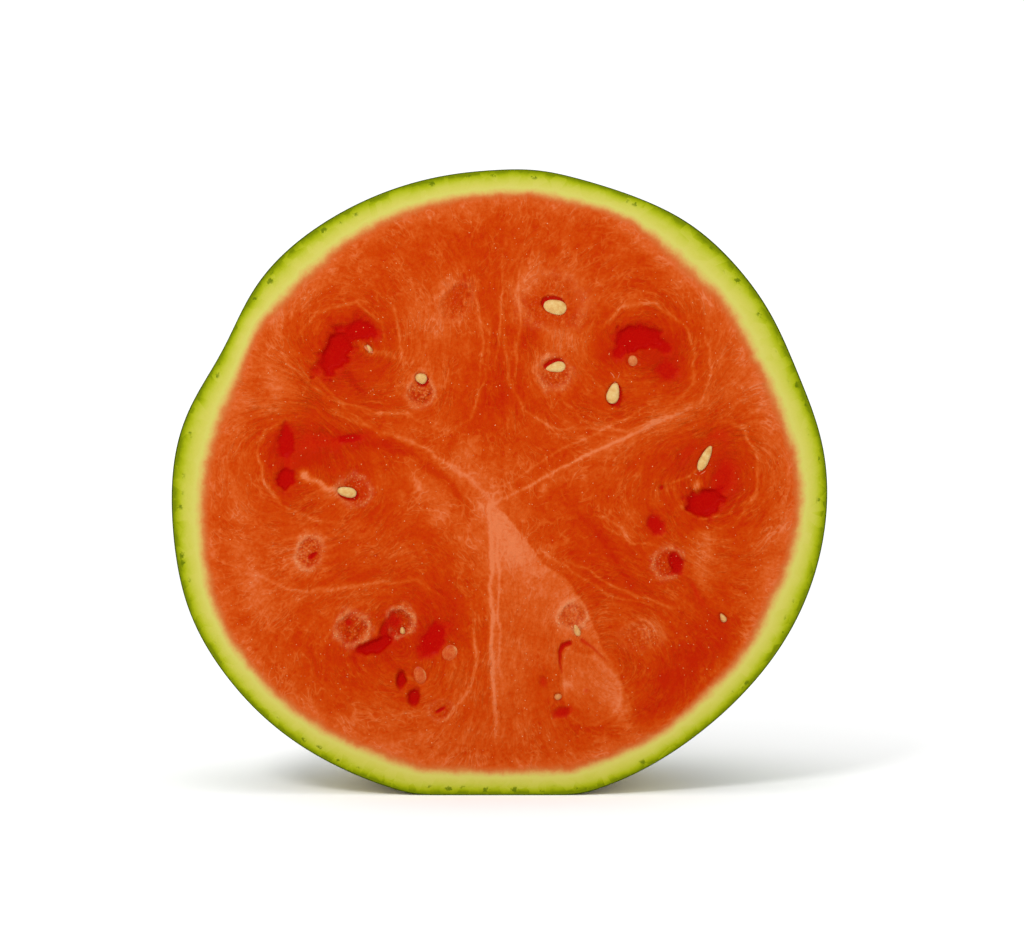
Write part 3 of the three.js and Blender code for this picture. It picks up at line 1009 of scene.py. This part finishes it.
class Finish:
    """A material's nodes, added one after another and joined as they are added."""

    def __init__(self, name):
        old = bpy.data.materials.get(name)
        if old:
            bpy.data.materials.remove(old)
        self.material = bpy.data.materials.new(name)
        self.material.use_nodes = True
        self.tree = self.material.node_tree
        self.tree.nodes.clear()
        self.surface = self.tree.nodes.new("ShaderNodeBsdfPrincipled")
        output = self.tree.nodes.new("ShaderNodeOutputMaterial")
        self.tree.links.new(self.surface.outputs["BSDF"], output.inputs["Surface"])
        self.row = 0

    def add(self, kind, result, inputs, **settings):
        """One more node. Returns the value of its result."""
        node = self.tree.nodes.new(kind)
        self.row += 1
        node.location = (-260 * (1 + self.row // 6), -200 * (self.row % 6))
        for name, value in settings.items():
            setattr(node, name, value)
        for key, value in inputs.items():
            self.put(node.inputs[key], value)
        return Value(self, node.outputs[result])

    def put(self, socket, value):
        if isinstance(value, Value):
            self.tree.links.new(value.socket, socket)
        elif socket.type == "RGBA":
            socket.default_value = (*value, 1)
        else:
            socket.default_value = value

    def place(self):
        """Where a point is, in millimetres of the object."""
        source = self.add("ShaderNodeTexCoord", "Object", {})
        return self.add("ShaderNodeVectorMath", "Vector", {0: source, "Scale": 1 / MM}, operation="SCALE")

    def split(self, vector):
        node = self.add("ShaderNodeSeparateXYZ", 0, {0: vector}).socket.node
        return [Value(self, socket) for socket in node.outputs]

    def join(self, x, y, z):
        return self.add("ShaderNodeCombineXYZ", 0, {0: x, 1: y, 2: z})

    def value_of(self, name):
        return self.add("ShaderNodeAttribute", "Fac", {}, attribute_name=name)

    def math(self, operation, *inputs):
        return self.add("ShaderNodeMath", 0, dict(enumerate(inputs)), operation=operation)

    def step(self, value, start, end, low=0.0, high=1.0):
        """A smooth change from low at the start to high at the end."""
        inputs = {"Value": value, "From Min": start, "From Max": end, "To Min": low, "To Max": high}
        return self.add("ShaderNodeMapRange", "Result", inputs, interpolation_type="SMOOTHSTEP")

    def noise(self, vector, scale, detail=2.0, roughness=0.5, distortion=0.0):
        inputs = {"Vector": vector, "Scale": scale, "Detail": detail}
        inputs.update({"Roughness": roughness, "Distortion": distortion})
        return self.add("ShaderNodeTexNoise", "Fac", inputs)

    def cells(self, vector, scale, result="Distance", feature="F1"):
        return self.add("ShaderNodeTexVoronoi", result, {"Vector": vector, "Scale": scale}, feature=feature)

    def ramp(self, value, *stops):
        """Colours along a value: each stop is its position and colour."""
        colours = self.add("ShaderNodeValToRGB", "Color", {0: value})
        ramp = colours.socket.node.color_ramp
        ramp.elements[0].position = stops[0][0]
        ramp.elements[1].position = stops[-1][0]
        for position, _ in stops[1:-1]:
            ramp.elements.new(position)
        for element, (_, colour) in zip(ramp.elements, stops):
            element.color = (*colour, 1)
        return colours

    def blend(self, factor, first, second):
        return self.add("ShaderNodeMix", 2, {0: factor, 6: first, 7: second}, data_type="RGBA")

    def bump(self, height, distance, strength, before=None):
        inputs = {"Height": height, "Distance": distance * MM, "Strength": strength}
        if before:
            inputs["Normal"] = before
        return self.add("ShaderNodeBump", "Normal", inputs)

    def finish(self, colour, roughness, normal=None, **constants):
        self.put(self.surface.inputs["Base Color"], colour)
        self.put(self.surface.inputs["Roughness"], roughness)
        if normal:
            self.put(self.surface.inputs["Normal"], normal)
        for name, value in constants.items():
            self.surface.inputs[name.replace("_", " ")].default_value = value
        return self.material


def flesh_colour(look, finish, place):
    """The flesh: paler along the seams, darker by the seed groups, with fibres and mottles."""
    x, _, z = finish.split(place)
    fibre = finish.value_of("fibre")
    plain = 1.0 - finish.value_of("smooth") * 0.6

    def along_fibres(across, along):
        return finish.join(fibre * across, x * along, z * along)

    strands = finish.noise(along_fibres(0.8, 0.10), 1.0, 4.0, 0.65, 0.5)
    mottle = finish.noise(place, 0.085, 3.0, 0.6, 0.6)
    grain = finish.noise(place, 0.9, 3.0, 0.65)
    cell = finish.cells(place, 0.8)
    threads = []
    for across, along, width in ((0.75, 0.12, 0.085), (1.5, 0.17, 0.11)):
        wave = finish.noise(along_fibres(across, along), 1.0, 1.0, 0.5, 0.6)
        threads.append(finish.step(finish.math("ABSOLUTE", (wave - 0.5) * 2.0), width, 0.0))
    thread = finish.math("MAXIMUM", *threads)
    dash = finish.noise(along_fibres(1.15, 0.26), 1.0, 2.0, 0.55, 0.8)
    dash = finish.step(dash, 0.60, 0.78) * plain
    clump = finish.step(finish.noise(place, 0.13, 2.0, 0.5), 0.38, 0.62, 0.15, 1.0)
    thread = thread * clump * plain
    near_rind = finish.step(finish.value_of("rind_share") + (mottle - 0.5) * 0.9, 1.9, 1.0)
    level = finish.value_of("tone") * 0.34
    level = level + (strands - 0.5) * 0.70 * plain + thread * 0.21 + dash * -0.19
    level = level + (mottle - 0.5) * 0.42 + (grain - 0.5) * 0.38 + (cell - 0.45) * -0.12
    level = level + near_rind * 0.22 + 0.45
    colour = finish.ramp(
        level,
        (0.00, look.deep_flesh),
        (0.28, shown(198, 54, 0)),
        (0.40, shown(202, 65, 2)),
        (0.50, look.flesh),
        (0.60, shown(211, 85, 22)),
        (0.70, shown(217, 95, 36)),
        (0.94, look.pale_flesh),
    )
    relief = strands + grain * 0.6 + cell * -0.4 + thread * 0.3
    return colour, relief


def rind_colour(look, finish, place, flesh):
    """The rind from its dark skin line through green and pale yellow to the flesh."""
    x, _, z = finish.split(place)
    share = finish.value_of("rind_share")
    outward = finish.join(x, 0.0, z - MIDDLE_Z)
    outward = finish.add("ShaderNodeVectorMath", "Vector", {0: outward}, operation="NORMALIZE")
    rays = finish.noise(outward, 26.0)
    wander = finish.noise(place, 0.16, 3.0, 0.55)
    speck = finish.noise(place, 1.3, 2.0, 0.6)
    facet = finish.split(finish.cells(place, 0.30, "Color"))[0]
    green_share = share + (facet - 0.5) * 0.09 + (wander - 0.5) * 0.21 + (speck - 0.5) * 0.06
    green = finish.ramp(
        green_share,
        (0.00, look.rind_green),
        (0.08, shown(118, 133, 3)),
        (0.14, shown(142, 156, 5)),
        (0.21, shown(164, 175, 15)),
        (0.29, shown(180, 187, 36)),
        (0.37, shown(191, 194, 58)),
        (0.46, shown(200, 199, 74)),
        (0.60, shown(208, 203, 88)),
        (0.76, look.rind_pale),
    )
    line = finish.step(share + (speck - 0.5) * 0.04, 0.055, 0.015)
    green = finish.blend(line, green, look.skin_line)
    band = finish.step(share, 0.10, 0.18) * finish.step(share, 0.44, 0.30)
    nick = finish.step(finish.cells(place, 0.21) + (speck - 0.5) * 0.6, 0.27, 0.12) * band
    green = finish.blend(nick * 0.8, green, shown(92, 112, 6))
    edge = share + (wander - 0.5) * 0.32 + (rays - 0.5) * 0.10 + (speck - 0.5) * 0.10
    warm = finish.ramp(
        edge * 0.5,
        (0.390, look.rind_pale),
        (0.450, shown(217, 184, 96)),
        (0.485, shown(217, 162, 84)),
        (0.520, shown(214, 134, 68)),
        (0.560, shown(210, 110, 50)),
        (0.620, shown(206, 94, 34)),
    )
    outer = finish.blend(finish.step(edge, 0.66, 0.80), green, warm)
    return finish.blend(finish.step(edge, 1.06, 1.34), outer, flesh)


def cut_finish(look):
    """The wet cut face: rind, flesh, hollows and scars."""
    finish = Finish("melon_cut")
    place = finish.place()
    flesh, relief = flesh_colour(look, finish, place)
    colour = rind_colour(look, finish, place, flesh)
    rind_share = finish.value_of("rind_share")
    wet = finish.value_of("wet")
    scar = finish.value_of("scar")
    bead = finish.value_of("bead")
    crumb = finish.cells(place, 1.15)
    fleck = finish.noise(place, 1.9, 2.0, 0.6)
    gap = scar * finish.step(crumb, 0.50, 0.78)
    colour = finish.blend(gap * 0.75, colour, shown(184, 28, 2))
    kernel = finish.step(crumb + (fleck - 0.5) * 0.6, 0.36, 0.10) * finish.math("MAXIMUM", scar * 0.42, bead)
    colour = finish.blend(kernel * 0.85, colour, shown(238, 168, 114))
    rim = bead * finish.step(finish.noise(place, 0.8, 3.0, 0.6), 0.36, 0.62, 0.35, 1.0)
    colour = finish.blend(rim * 0.5, colour, shown(230, 146, 94))
    red_tone = finish.ramp(fleck, (0.30, shown(196, 22, 1)), (0.70, shown(203, 46, 3)))
    colour = finish.blend(finish.step(wet, 0.0, 0.55, 0.0, 0.85), colour, red_tone)
    wet_stops = (0.30, look.wet_flesh), (0.62, shown(189, 7, 1)), (0.80, shown(197, 24, 2))
    wet_tone = finish.ramp(fleck, *wet_stops)
    colour = finish.blend(finish.step(wet, 0.35, 0.95, 0.0, 0.95), colour, wet_tone)
    dry = (1.0 - wet * 0.85) * finish.step(rind_share, 0.8, 1.4)
    normal = finish.bump(relief * dry, 0.35, 0.8)
    rough_floor = finish.math("MAXIMUM", scar, bead) * (1.0 - crumb)
    normal = finish.bump(rough_floor, 0.5, 0.8, normal)
    gloss = finish.noise(place, 0.7)
    roughness = (gloss - 0.5) * 0.5 + wet * 0.1 + 0.34 + finish.step(rind_share, 1.3, 0.7, 0.0, 0.14)
    return finish.finish(colour, roughness, normal, Specular_IOR_Level=0.015)


def skin_finish(look):
    """Striped skin with marbled edges and the pale yellow spot it lay on."""
    finish = Finish("melon_skin")
    place = finish.place()
    x, y, z = finish.split(place)
    sway = finish.noise(place, 0.030, 3.0, 0.6)
    crinkle = finish.noise(place, 0.16, 3.0, 0.65)
    fine = finish.noise(place, 0.9, 3.0, 0.7)
    axis = y * (-SAG / DEPTH) + (CUT_AXIS - SAG / 2)
    turn = finish.math("ARCTAN2", z - axis, x)
    stripe = finish.math("SINE", turn * float(look.stripes) + (sway - 0.5) * 5.0 + (crinkle - 0.5) * 3.6)
    vein = finish.cells(finish.join(x, y * 0.6, z), 0.22, feature="DISTANCE_TO_EDGE")
    net = finish.step(vein + (crinkle - 0.5) * 0.5, 0.16, 0.02)
    light_stops = (0.30, shown(104, 128, 44)), (0.50, look.skin_light), (0.72, shown(168, 184, 92))
    light = finish.ramp(crinkle + (fine - 0.5) * 0.4, *light_stops)
    light = finish.blend(net * 0.6, light, shown(64, 98, 34))
    dark_stops = (0.30, look.skin_dark), (0.56, shown(34, 66, 26)), (0.80, shown(58, 92, 36))
    dark = finish.ramp(fine, *dark_stops)
    colour = finish.blend(finish.step(stripe, -0.30, 0.30), light, dark)
    ground = finish.step(z - (crinkle - 0.5) * 34.0, 26.0, 2.0)
    straw_stops = (0.30, shown(206, 184, 96)), (0.60, look.ground_spot), (0.80, shown(232, 222, 160))
    colour = finish.blend(ground * 0.92, colour, finish.ramp(fine, *straw_stops))
    speck = finish.step(finish.cells(place, 0.42), 0.16, 0.06)
    colour = finish.blend(speck * 0.35, colour, shown(176, 176, 112))
    normal = finish.bump(crinkle * 0.6 + fine * 0.25 + stripe * -0.10, 0.5, 0.5)
    roughness = (fine - 0.5) * 0.25 + ground * 0.14 + 0.42
    return finish.finish(colour, roughness, normal, Specular_IOR_Level=0.4)


def seed_finish(look):
    """Pale tan seed coat, mottled, and veiled with flesh where it is partly covered; where the veil thins on
    the upper right of the most veiled seeds, the coat that shows is a painted highlight.
    """
    finish = Finish("melon_seed_coat")
    place = finish.place()
    cloud = finish.noise(place, 0.55, 3.0, 0.6)
    fine = finish.noise(place, 3.2, 2.0, 0.6)
    coat_stops = (0.28, shown(216, 158, 88)), (0.50, look.seed), (0.74, shown(236, 204, 138))
    coat = finish.ramp(cloud + (fine - 0.5) * 0.35, *coat_stops)
    # The veil read here also carries the painted highlight on the upper right of the most veiled seeds.
    veil = finish.value_of("veil") * finish.step(cloud, 0.18, 0.62, 1.0, 0.97)
    flesh_stops = (0.36, shown(196, 56, 6)), (0.50, shown(208, 78, 18)), (0.64, shown(220, 104, 44))
    flesh = finish.ramp(cloud * 0.5 + fine * 0.5, *flesh_stops)
    normal = finish.bump(cloud + fine * 0.4, 0.12, 0.6)
    colour = finish.blend(veil, coat, flesh)
    return finish.finish(colour, (fine - 0.5) * 0.2 + 0.34, normal, Specular_IOR_Level=0.08)


def thread_finish(look):
    """The pale threads that held the seeds."""
    finish = Finish("melon_thread")
    cloud = finish.noise(finish.place(), 0.8, 3.0, 0.6)
    stops = (0.30, shown(214, 96, 38)), (0.60, shown(222, 112, 56)), (0.85, look.pale_flesh)
    colour = finish.ramp(cloud, *stops)
    return finish.finish(colour, (cloud - 0.5) * 0.2 + 0.36, finish.bump(cloud, 0.15, 0.6))


def juice_finish():
    """Clear juice on the flesh."""
    finish = Finish("melon_juice")
    place = finish.place()
    cloud = finish.noise(place, 0.12)
    colour = finish.ramp(cloud, (0.35, shown(226, 116, 54)), (0.65, shown(244, 156, 94)))
    normal = finish.bump(finish.noise(place, 4.0, 1.0), 0.02, 0.4)
    roughness = finish.step(cloud, 0.3, 0.7, 0.08, 0.16)
    return finish.finish(colour, roughness, normal, Specular_IOR_Level=0.6)


def scar_finish():
    """The corky button where the flower was."""
    finish = Finish("melon_flower_scar")
    place = finish.place()
    cork = finish.noise(place, 0.9, 4.0, 0.7)
    cell = finish.cells(place, 1.4)
    stops = (0.32, shown(92, 70, 40)), (0.55, shown(140, 114, 70)), (0.76, shown(172, 150, 100))
    normal = finish.bump(cork + cell * 0.5, 0.4, 0.9)
    return finish.finish(finish.ramp(cork, *stops), (cork - 0.5) * 0.3 + 0.78, normal)


def floor_finish(studio):
    """Plain pale floor."""
    finish = Finish("studio_floor")
    cloud = finish.noise(finish.place(), 0.01)
    darker = tuple(level * 0.985 for level in studio.floor)
    white = finish.ramp(cloud, (0.35, darker), (0.65, tuple(studio.floor)))
    return finish.finish(white, 0.9, Specular_IOR_Level=0.0)


# ---- Geometry Nodes pieces ----


class Maker:
    """A Geometry Nodes tree with named inputs, ending in Realize Instances and Set Material."""

    def __init__(self, name, **inputs):
        self.tree = bpy.data.node_groups.new(name, "GeometryNodeTree")
        self.sockets = {}
        self.values = {}
        face = self.tree.interface
        face.new_socket(name="Geometry", in_out="INPUT", socket_type="NodeSocketGeometry")
        for label, (kind, value) in inputs.items():
            name = label.replace("_", " ")
            socket = face.new_socket(name=name, in_out="INPUT", socket_type="NodeSocket" + kind)
            self.sockets[label] = socket.identifier
            self.values[label] = value
        face.new_socket(name="Geometry", in_out="OUTPUT", socket_type="NodeSocketGeometry")
        self.source = self.tree.nodes.new("NodeGroupInput")

    def input(self, label):
        return self.source.outputs[label.replace("_", " ")]

    def add(self, kind, inputs=None, **settings):
        node = self.tree.nodes.new(kind)
        for name, value in settings.items():
            setattr(node, name, value)
        for key, value in (inputs or {}).items():
            if isinstance(value, bpy.types.NodeSocket):
                self.tree.links.new(value, node.inputs[key])
            else:
                node.inputs[key].default_value = value
        return node

    def math(self, operation, *inputs):
        return self.add("ShaderNodeMath", dict(enumerate(inputs)), operation=operation).outputs[0]

    def end(self, geometry):
        realized = self.add("GeometryNodeRealizeInstances", {"Geometry": geometry}).outputs["Geometry"]
        inputs = {"Geometry": realized, "Material": self.input("Material")}
        painted = self.add("GeometryNodeSetMaterial", inputs)
        output = self.tree.nodes.new("NodeGroupOutput")
        self.tree.links.new(painted.outputs["Geometry"], output.inputs["Geometry"])

    def run(self, carrier, name):
        """The tree's result on a carrier object, as a plain mesh."""
        modifier = carrier.modifiers.new(name, "NODES")
        modifier.node_group = self.tree
        for label, identifier in self.sockets.items():
            modifier[identifier] = self.values[label]
        seen = bpy.context.evaluated_depsgraph_get()
        mesh = bpy.data.meshes.new_from_object(carrier.evaluated_get(seen), depsgraph=seen)
        mesh.name = name
        carrier.modifiers.remove(modifier)
        data = carrier.data
        bpy.data.objects.remove(carrier)
        if isinstance(data, bpy.types.Mesh):
            bpy.data.meshes.remove(data)
        else:
            bpy.data.curves.remove(data)
        return mesh


# Where the flesh starts, as a share of the rind's thickness in from the skin
FLESH_START = 1.4


def face_carrier():
    """A copy of the flesh of the cut face alone, for things that are scattered on it."""
    source = bpy.data.objects["watermelon_half"].data
    copy = bmesh.new()
    copy.from_mesh(source)
    share = copy.verts.layers.float["rind_share"]
    away = [polygon for polygon in copy.faces
            if polygon.material_index == 1 or min(vert[share] for vert in polygon.verts) < FLESH_START]
    bmesh.ops.delete(copy, geom=away, context="FACES")
    mesh = bpy.data.meshes.new("flesh_carrier")
    copy.to_mesh(mesh)
    copy.free()
    carrier = bpy.data.objects.new("flesh_carrier", mesh)
    bpy.context.scene.collection.objects.link(carrier)
    return carrier


# Square metres of flesh in the cut face, and the size of the smallest bead and the height of every bead
# against its radius
FLESH_AREA = 0.028
SMALLEST_BEAD = 0.35
BEAD_HEIGHT = 0.6


def juice_mesh(look, material):
    """Small flattened beads of juice scattered over the flesh."""
    maker = Maker(
        "juice_beads",
        Density=("Float", look.beads / FLESH_AREA),
        Bead_Size=("Float", look.bead_size),
        Seed=("Int", 7),
        Material=("Material", material),
    )
    rim = maker.add("GeometryNodeInputNamedAttribute", {"Name": "bead"}, data_type="FLOAT")
    crowd = maker.math("MULTIPLY_ADD", rim.outputs[0], 3.0, 0.9)
    points = maker.add("GeometryNodeDistributePointsOnFaces", {
        "Mesh": maker.input("Geometry"),
        "Density": maker.math("MULTIPLY", crowd, maker.input("Density")),
        "Seed": maker.input("Seed"),
    })
    bead = maker.add("GeometryNodeMeshUVSphere", {"Radius": 1.0, "Segments": 8, "Rings": 4})
    soft = maker.add("GeometryNodeSetShadeSmooth", {"Geometry": bead.outputs["Mesh"]})
    size = maker.add("FunctionNodeRandomValue", {"Seed": maker.input("Seed")}, data_type="FLOAT")
    size.inputs[2].default_value = SMALLEST_BEAD
    size.inputs[3].default_value = 1.0
    scaled = maker.math("MULTIPLY", size.outputs[1], maker.input("Bead_Size"))
    flat = maker.math("MULTIPLY", scaled, BEAD_HEIGHT)
    shape = maker.add("ShaderNodeCombineXYZ", {0: scaled, 1: scaled, 2: flat})
    beads = maker.add("GeometryNodeInstanceOnPoints", {
        "Points": points.outputs["Points"],
        "Instance": soft.outputs["Geometry"],
        "Rotation": points.outputs["Rotation"],
        "Scale": shape.outputs[0],
    })
    maker.end(beads.outputs["Instances"])
    return maker.run(face_carrier(), "juice_beads")


def thread_mesh(material):
    """Tapered threads laid on the face along their routes."""
    routes = bpy.data.curves.new("thread_routes", "CURVE")
    routes.dimensions = "3D"
    for thick, points in THREADS:
        x = np.array([point[0] for point in points])
        z = np.array([point[1] for point in points])
        depth = CutFace(x, z).finish().depth
        spline = routes.splines.new("NURBS")
        spline.points.add(len(points) - 1)
        spline.order_u = min(4, len(points))
        spline.use_endpoint_u = True
        spline.resolution_u = 8
        for i, point in enumerate(spline.points):
            sunk = CUT_Y + min(depth[i], 0.5) + 0.2 * thick
            point.co = ((x[i] + MIDDLE_X) * MM, sunk * MM, (z[i] + MIDDLE_Z) * MM, 1)
            share = i / (len(points) - 1)
            point.radius = thick / 2 * min(1, 0.35 + 2.6 * share) * (1 - 0.75 * share)
    carrier = bpy.data.objects.new("thread_routes", routes)
    bpy.context.scene.collection.objects.link(carrier)
    maker = Maker("threads", Thickness=("Float", 1.0 * MM), Material=("Material", material))
    round_size = {"Resolution": 10, "Radius": maker.input("Thickness")}
    ring = maker.add("GeometryNodeCurvePrimitiveCircle", round_size)
    tube = maker.add("GeometryNodeCurveToMesh", {
        "Curve": maker.input("Geometry"),
        "Profile Curve": ring.outputs["Curve"],
        "Scale": maker.add("GeometryNodeInputRadius").outputs[0],
        "Fill Caps": True,
    })
    soft = maker.add("GeometryNodeSetShadeSmooth", {"Geometry": tube.outputs["Mesh"]})
    maker.end(soft.outputs["Geometry"])
    return maker.run(carrier, "seed_threads")


# Reach from the scar's middle and rise from the skin of each ring of the scar
SCAR_PROFILE = (
    (6.8, -0.5),
    (6.6, 0.1),
    (6.0, 0.55),
    (5.2, 0.6),
    (4.4, 0.35),
    (3.2, 0.2),
    (2.2, 0.35),
    (1.2, 0.8),
)
SCAR_SIDES = 40
SCAR_SINK = 0.3


def scar_mesh():
    """A low corky button with a rolled edge, set into the skin at the tip."""
    x, y, z = skin_ring(np.zeros(1), 1)
    centre = Vector((x[0], y - SCAR_SINK, z[0]))
    rings = []
    for reach, rise in SCAR_PROFILE:
        ring = []
        for side in range(SCAR_SIDES):
            angle = 2 * math.pi * side / SCAR_SIDES
            out = reach * (1 + 0.05 * math.sin(3 * angle + reach) + 0.03 * math.sin(7 * angle))
            lift = rise + 0.06 * math.sin(11 * angle + 2 * reach)
            ring.append(centre + Vector((out * math.cos(angle), lift, out * math.sin(angle))))
        rings.append(ring)
    ends = [centre + Vector((0, rise, 0)) for rise in (-0.8, 0.6)]
    return ringed_mesh("flower_scar", rings, ends)


# ---- What a user would change ----


def colour_property(name, text, colour):
    return bpy.props.FloatVectorProperty(name=name, description=text, default=colour, size=3,
                                         subtype="COLOR", min=0, max=1)


def number_property(name, text, default, low, high, **settings):
    return bpy.props.FloatProperty(name=name, description=text, default=default,
                                   min=low, max=high, **settings)


def count_property(name, text, default, low, high):
    return bpy.props.IntProperty(name=name, description=text, default=default, min=low, max=high)


class MelonLook(bpy.types.PropertyGroup):
    """Colours and counts of the melon."""

    flesh: colour_property("Flesh", "Colour of most of the flesh", shown(206, 74, 10))
    deep_flesh: colour_property("Deep flesh", "Darker flesh by the seed groups", shown(191, 34, 0))
    pale_flesh: colour_property("Pale flesh", "Flesh of the seams and ridges", shown(229, 122, 72))
    wet_flesh: colour_property("Wet flesh", "Bottoms of the wet hollows", shown(184, 0, 0))
    rind_green: colour_property("Outer rind", "Rind right under the skin", shown(118, 132, 6))
    rind_pale: colour_property("Inner rind", "Rind next to the flesh", shown(213, 206, 100))
    skin_line: colour_property("Skin edge", "Thin line of skin round the cut", shown(62, 78, 8))
    skin_dark: colour_property("Dark stripes", "Stripes of the skin", shown(20, 46, 20))
    skin_light: colour_property("Light stripes", "Ground between the stripes", shown(134, 158, 64))
    ground_spot: colour_property("Ground spot", "Where the melon lay", shown(224, 208, 128))
    seed: colour_property("Seeds", "Seed coat", shown(228, 184, 112))
    stripes: count_property("Stripes", "Dark stripes round the skin", 13, 4, 30)
    beads: count_property("Juice beads", "Beads of juice on the flesh", 1000, 0, 4000)
    bead_size: number_property("Bead size", "Radius of the largest bead", 0.24 * MM, 0.05 * MM, 2 * MM,
                               unit="LENGTH", precision=5)


class MelonStudio(bpy.types.PropertyGroup):
    """Light, floor and camera."""

    floor: colour_property("Floor", "Colour of the floor", (0.96, 0.96, 0.96))
    surround: number_property("Surround", "Strength of the white surround", 1.12, 0, 5)
    mirrored: number_property("Mirrored surround", "Share of the surround that glossy surfaces show",
                              0.1, 0, 1)
    key_power: number_property("Key light", "Power of the key light", 9.0, 0, 100, unit="POWER")
    lens: number_property("Lens", "Focal length in millimetres", 85.0, 20, 200)
    view_width: number_property("View width", "Width seen at the cut face", 0.3429, 0.1, 2,
                                unit="LENGTH", precision=4)


# ---- Operators ----


class MakeMelon(bpy.types.Operator):
    """Make the melon with its cut face and its skin"""

    bl_idname = "melon.make_melon"
    bl_label = "Melon"

    def execute(self, context):
        look = context.scene.melon_look
        piece = add_piece("watermelon_half", melon_mesh(), "melon", cut_finish(look), skin_finish(look))
        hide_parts("melon_half")
        return {"FINISHED"}


class MakeSeeds(bpy.types.Operator):
    """Make the seeds that show in the cut face"""

    bl_idname = "melon.make_seeds"
    bl_label = "Seeds"

    def execute(self, context):
        material = seed_finish(context.scene.melon_look)
        for name in SEED_LOOKS:
            piece = add_piece(name.replace("seed", "melon_seed"), seed_mesh(name), "seed", material)
            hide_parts(name)
        return {"FINISHED"}


class MakeThreads(bpy.types.Operator):
    """Make the threads that held the seeds"""

    bl_idname = "melon.make_threads"
    bl_label = "Seed threads"

    def execute(self, context):
        material = thread_finish(context.scene.melon_look)
        add_piece("seed_threads", thread_mesh(material), "melon", material)
        return {"FINISHED"}


class MakeJuice(bpy.types.Operator):
    """Scatter beads of juice on the flesh"""

    bl_idname = "melon.make_juice"
    bl_label = "Juice beads"

    def execute(self, context):
        look = context.scene.melon_look
        material = juice_finish()
        add_piece("juice_beads", juice_mesh(look, material), "melon", material)
        return {"FINISHED"}


class MakeScar(bpy.types.Operator):
    """Make the flower scar at the tip of the skin"""

    bl_idname = "melon.make_scar"
    bl_label = "Flower scar"

    def execute(self, context):
        add_piece("flower_scar", scar_mesh(), "melon", scar_finish())
        return {"FINISHED"}


# Metres: where the key light hangs and how wide it is, how far the floor reaches, and how far right and
# up the view's middle is from the melon's
KEY_PLACE = (-0.45, -1.15, 0.95)
KEY_SIZE = 0.35
FLOOR_REACH = 3.0
VIEW_RIGHT = 0.00419
VIEW_UP = 0.0057


class MakeStudio(bpy.types.Operator):
    """Set up the floor, the light and the camera"""

    bl_idname = "melon.make_studio"
    bl_label = "Studio"

    def execute(self, context):
        studio = context.scene.melon_studio
        self.floor(context, studio)
        self.light(context, studio)
        self.camera(context, studio)
        return {"FINISHED"}

    def floor(self, context, studio):
        sheet = bmesh.new()
        bmesh.ops.create_grid(sheet, x_segments=24, y_segments=24, size=FLOOR_REACH)
        mesh = bpy.data.meshes.new("studio_floor")
        sheet.to_mesh(mesh)
        sheet.free()
        mesh.materials.append(floor_finish(studio))
        floor = bpy.data.objects.new("studio_floor", mesh)
        context.scene.collection.objects.link(floor)

    def light(self, context, studio):
        world = bpy.data.worlds.new("studio_surround")
        world.use_nodes = True
        nodes = world.node_tree.nodes
        background = nodes["Background"]
        background.inputs["Color"].default_value = (1, 1, 1, 1)
        rays = nodes.new("ShaderNodeLightPath")
        strength = nodes.new("ShaderNodeMapRange")
        strength.inputs["To Min"].default_value = studio.surround
        strength.inputs["To Max"].default_value = studio.surround * studio.mirrored
        world.node_tree.links.new(rays.outputs["Is Glossy Ray"], strength.inputs["Value"])
        world.node_tree.links.new(strength.outputs["Result"], background.inputs["Strength"])
        context.scene.world = world
        data = bpy.data.lights.new("studio_key", "AREA")
        data.shape = "DISK"
        data.size = KEY_SIZE
        data.energy = studio.key_power
        key = bpy.data.objects.new("studio_key", data)
        key.location = KEY_PLACE
        aim = Vector((0, CAD_LOW.y, MIDDLE_Z * MM)) - key.location
        key.rotation_euler = aim.to_track_quat("-Z", "Y").to_euler()
        context.scene.collection.objects.link(key)

    def camera(self, context, studio):
        data = bpy.data.cameras.new("camera")
        data.lens = studio.lens
        data.sensor_width = 36
        camera = bpy.data.objects.new("camera", data)
        away = studio.view_width * studio.lens / data.sensor_width
        camera.location = (VIEW_RIGHT, CAD_LOW.y - away, MIDDLE_Z * MM + VIEW_UP)
        camera.rotation_euler = (math.pi / 2, 0, 0)
        context.scene.collection.objects.link(camera)
        context.scene.camera = camera
        context.scene.view_settings.view_transform = "Standard"


class MelonPanel(bpy.types.Panel):
    """Sidebar panel with the melon's pieces"""

    bl_idname = "MELON_PT_pieces"
    bl_label = "Watermelon Half"
    bl_space_type = "VIEW_3D"
    bl_region_type = "UI"
    bl_category = "Melon"

    def draw(self, context):
        for group in (context.scene.melon_look, context.scene.melon_studio):
            for name in group.bl_rna.properties.keys():
                if name not in ("rna_type", "name"):
                    self.layout.prop(group, name)
        for operator in OPERATORS:
            self.layout.operator(operator.bl_idname)


GROUPS = (MelonLook, MelonStudio)
OPERATORS = (MakeMelon, MakeSeeds, MakeThreads, MakeJuice, MakeScar, MakeStudio)


def register():
    for item in (*GROUPS, *OPERATORS, MelonPanel):
        bpy.utils.register_class(item)
    bpy.types.Scene.melon_look = bpy.props.PointerProperty(type=MelonLook)
    bpy.types.Scene.melon_studio = bpy.props.PointerProperty(type=MelonStudio)


def unregister():
    del bpy.types.Scene.melon_studio
    del bpy.types.Scene.melon_look
    for item in reversed((*GROUPS, *OPERATORS, MelonPanel)):
        bpy.utils.unregister_class(item)


def main():
    register()
    for operator in OPERATORS:
        group, name = operator.bl_idname.split(".")
        getattr(getattr(bpy.ops, group), name)()


if __name__ == "__main__":
    main()
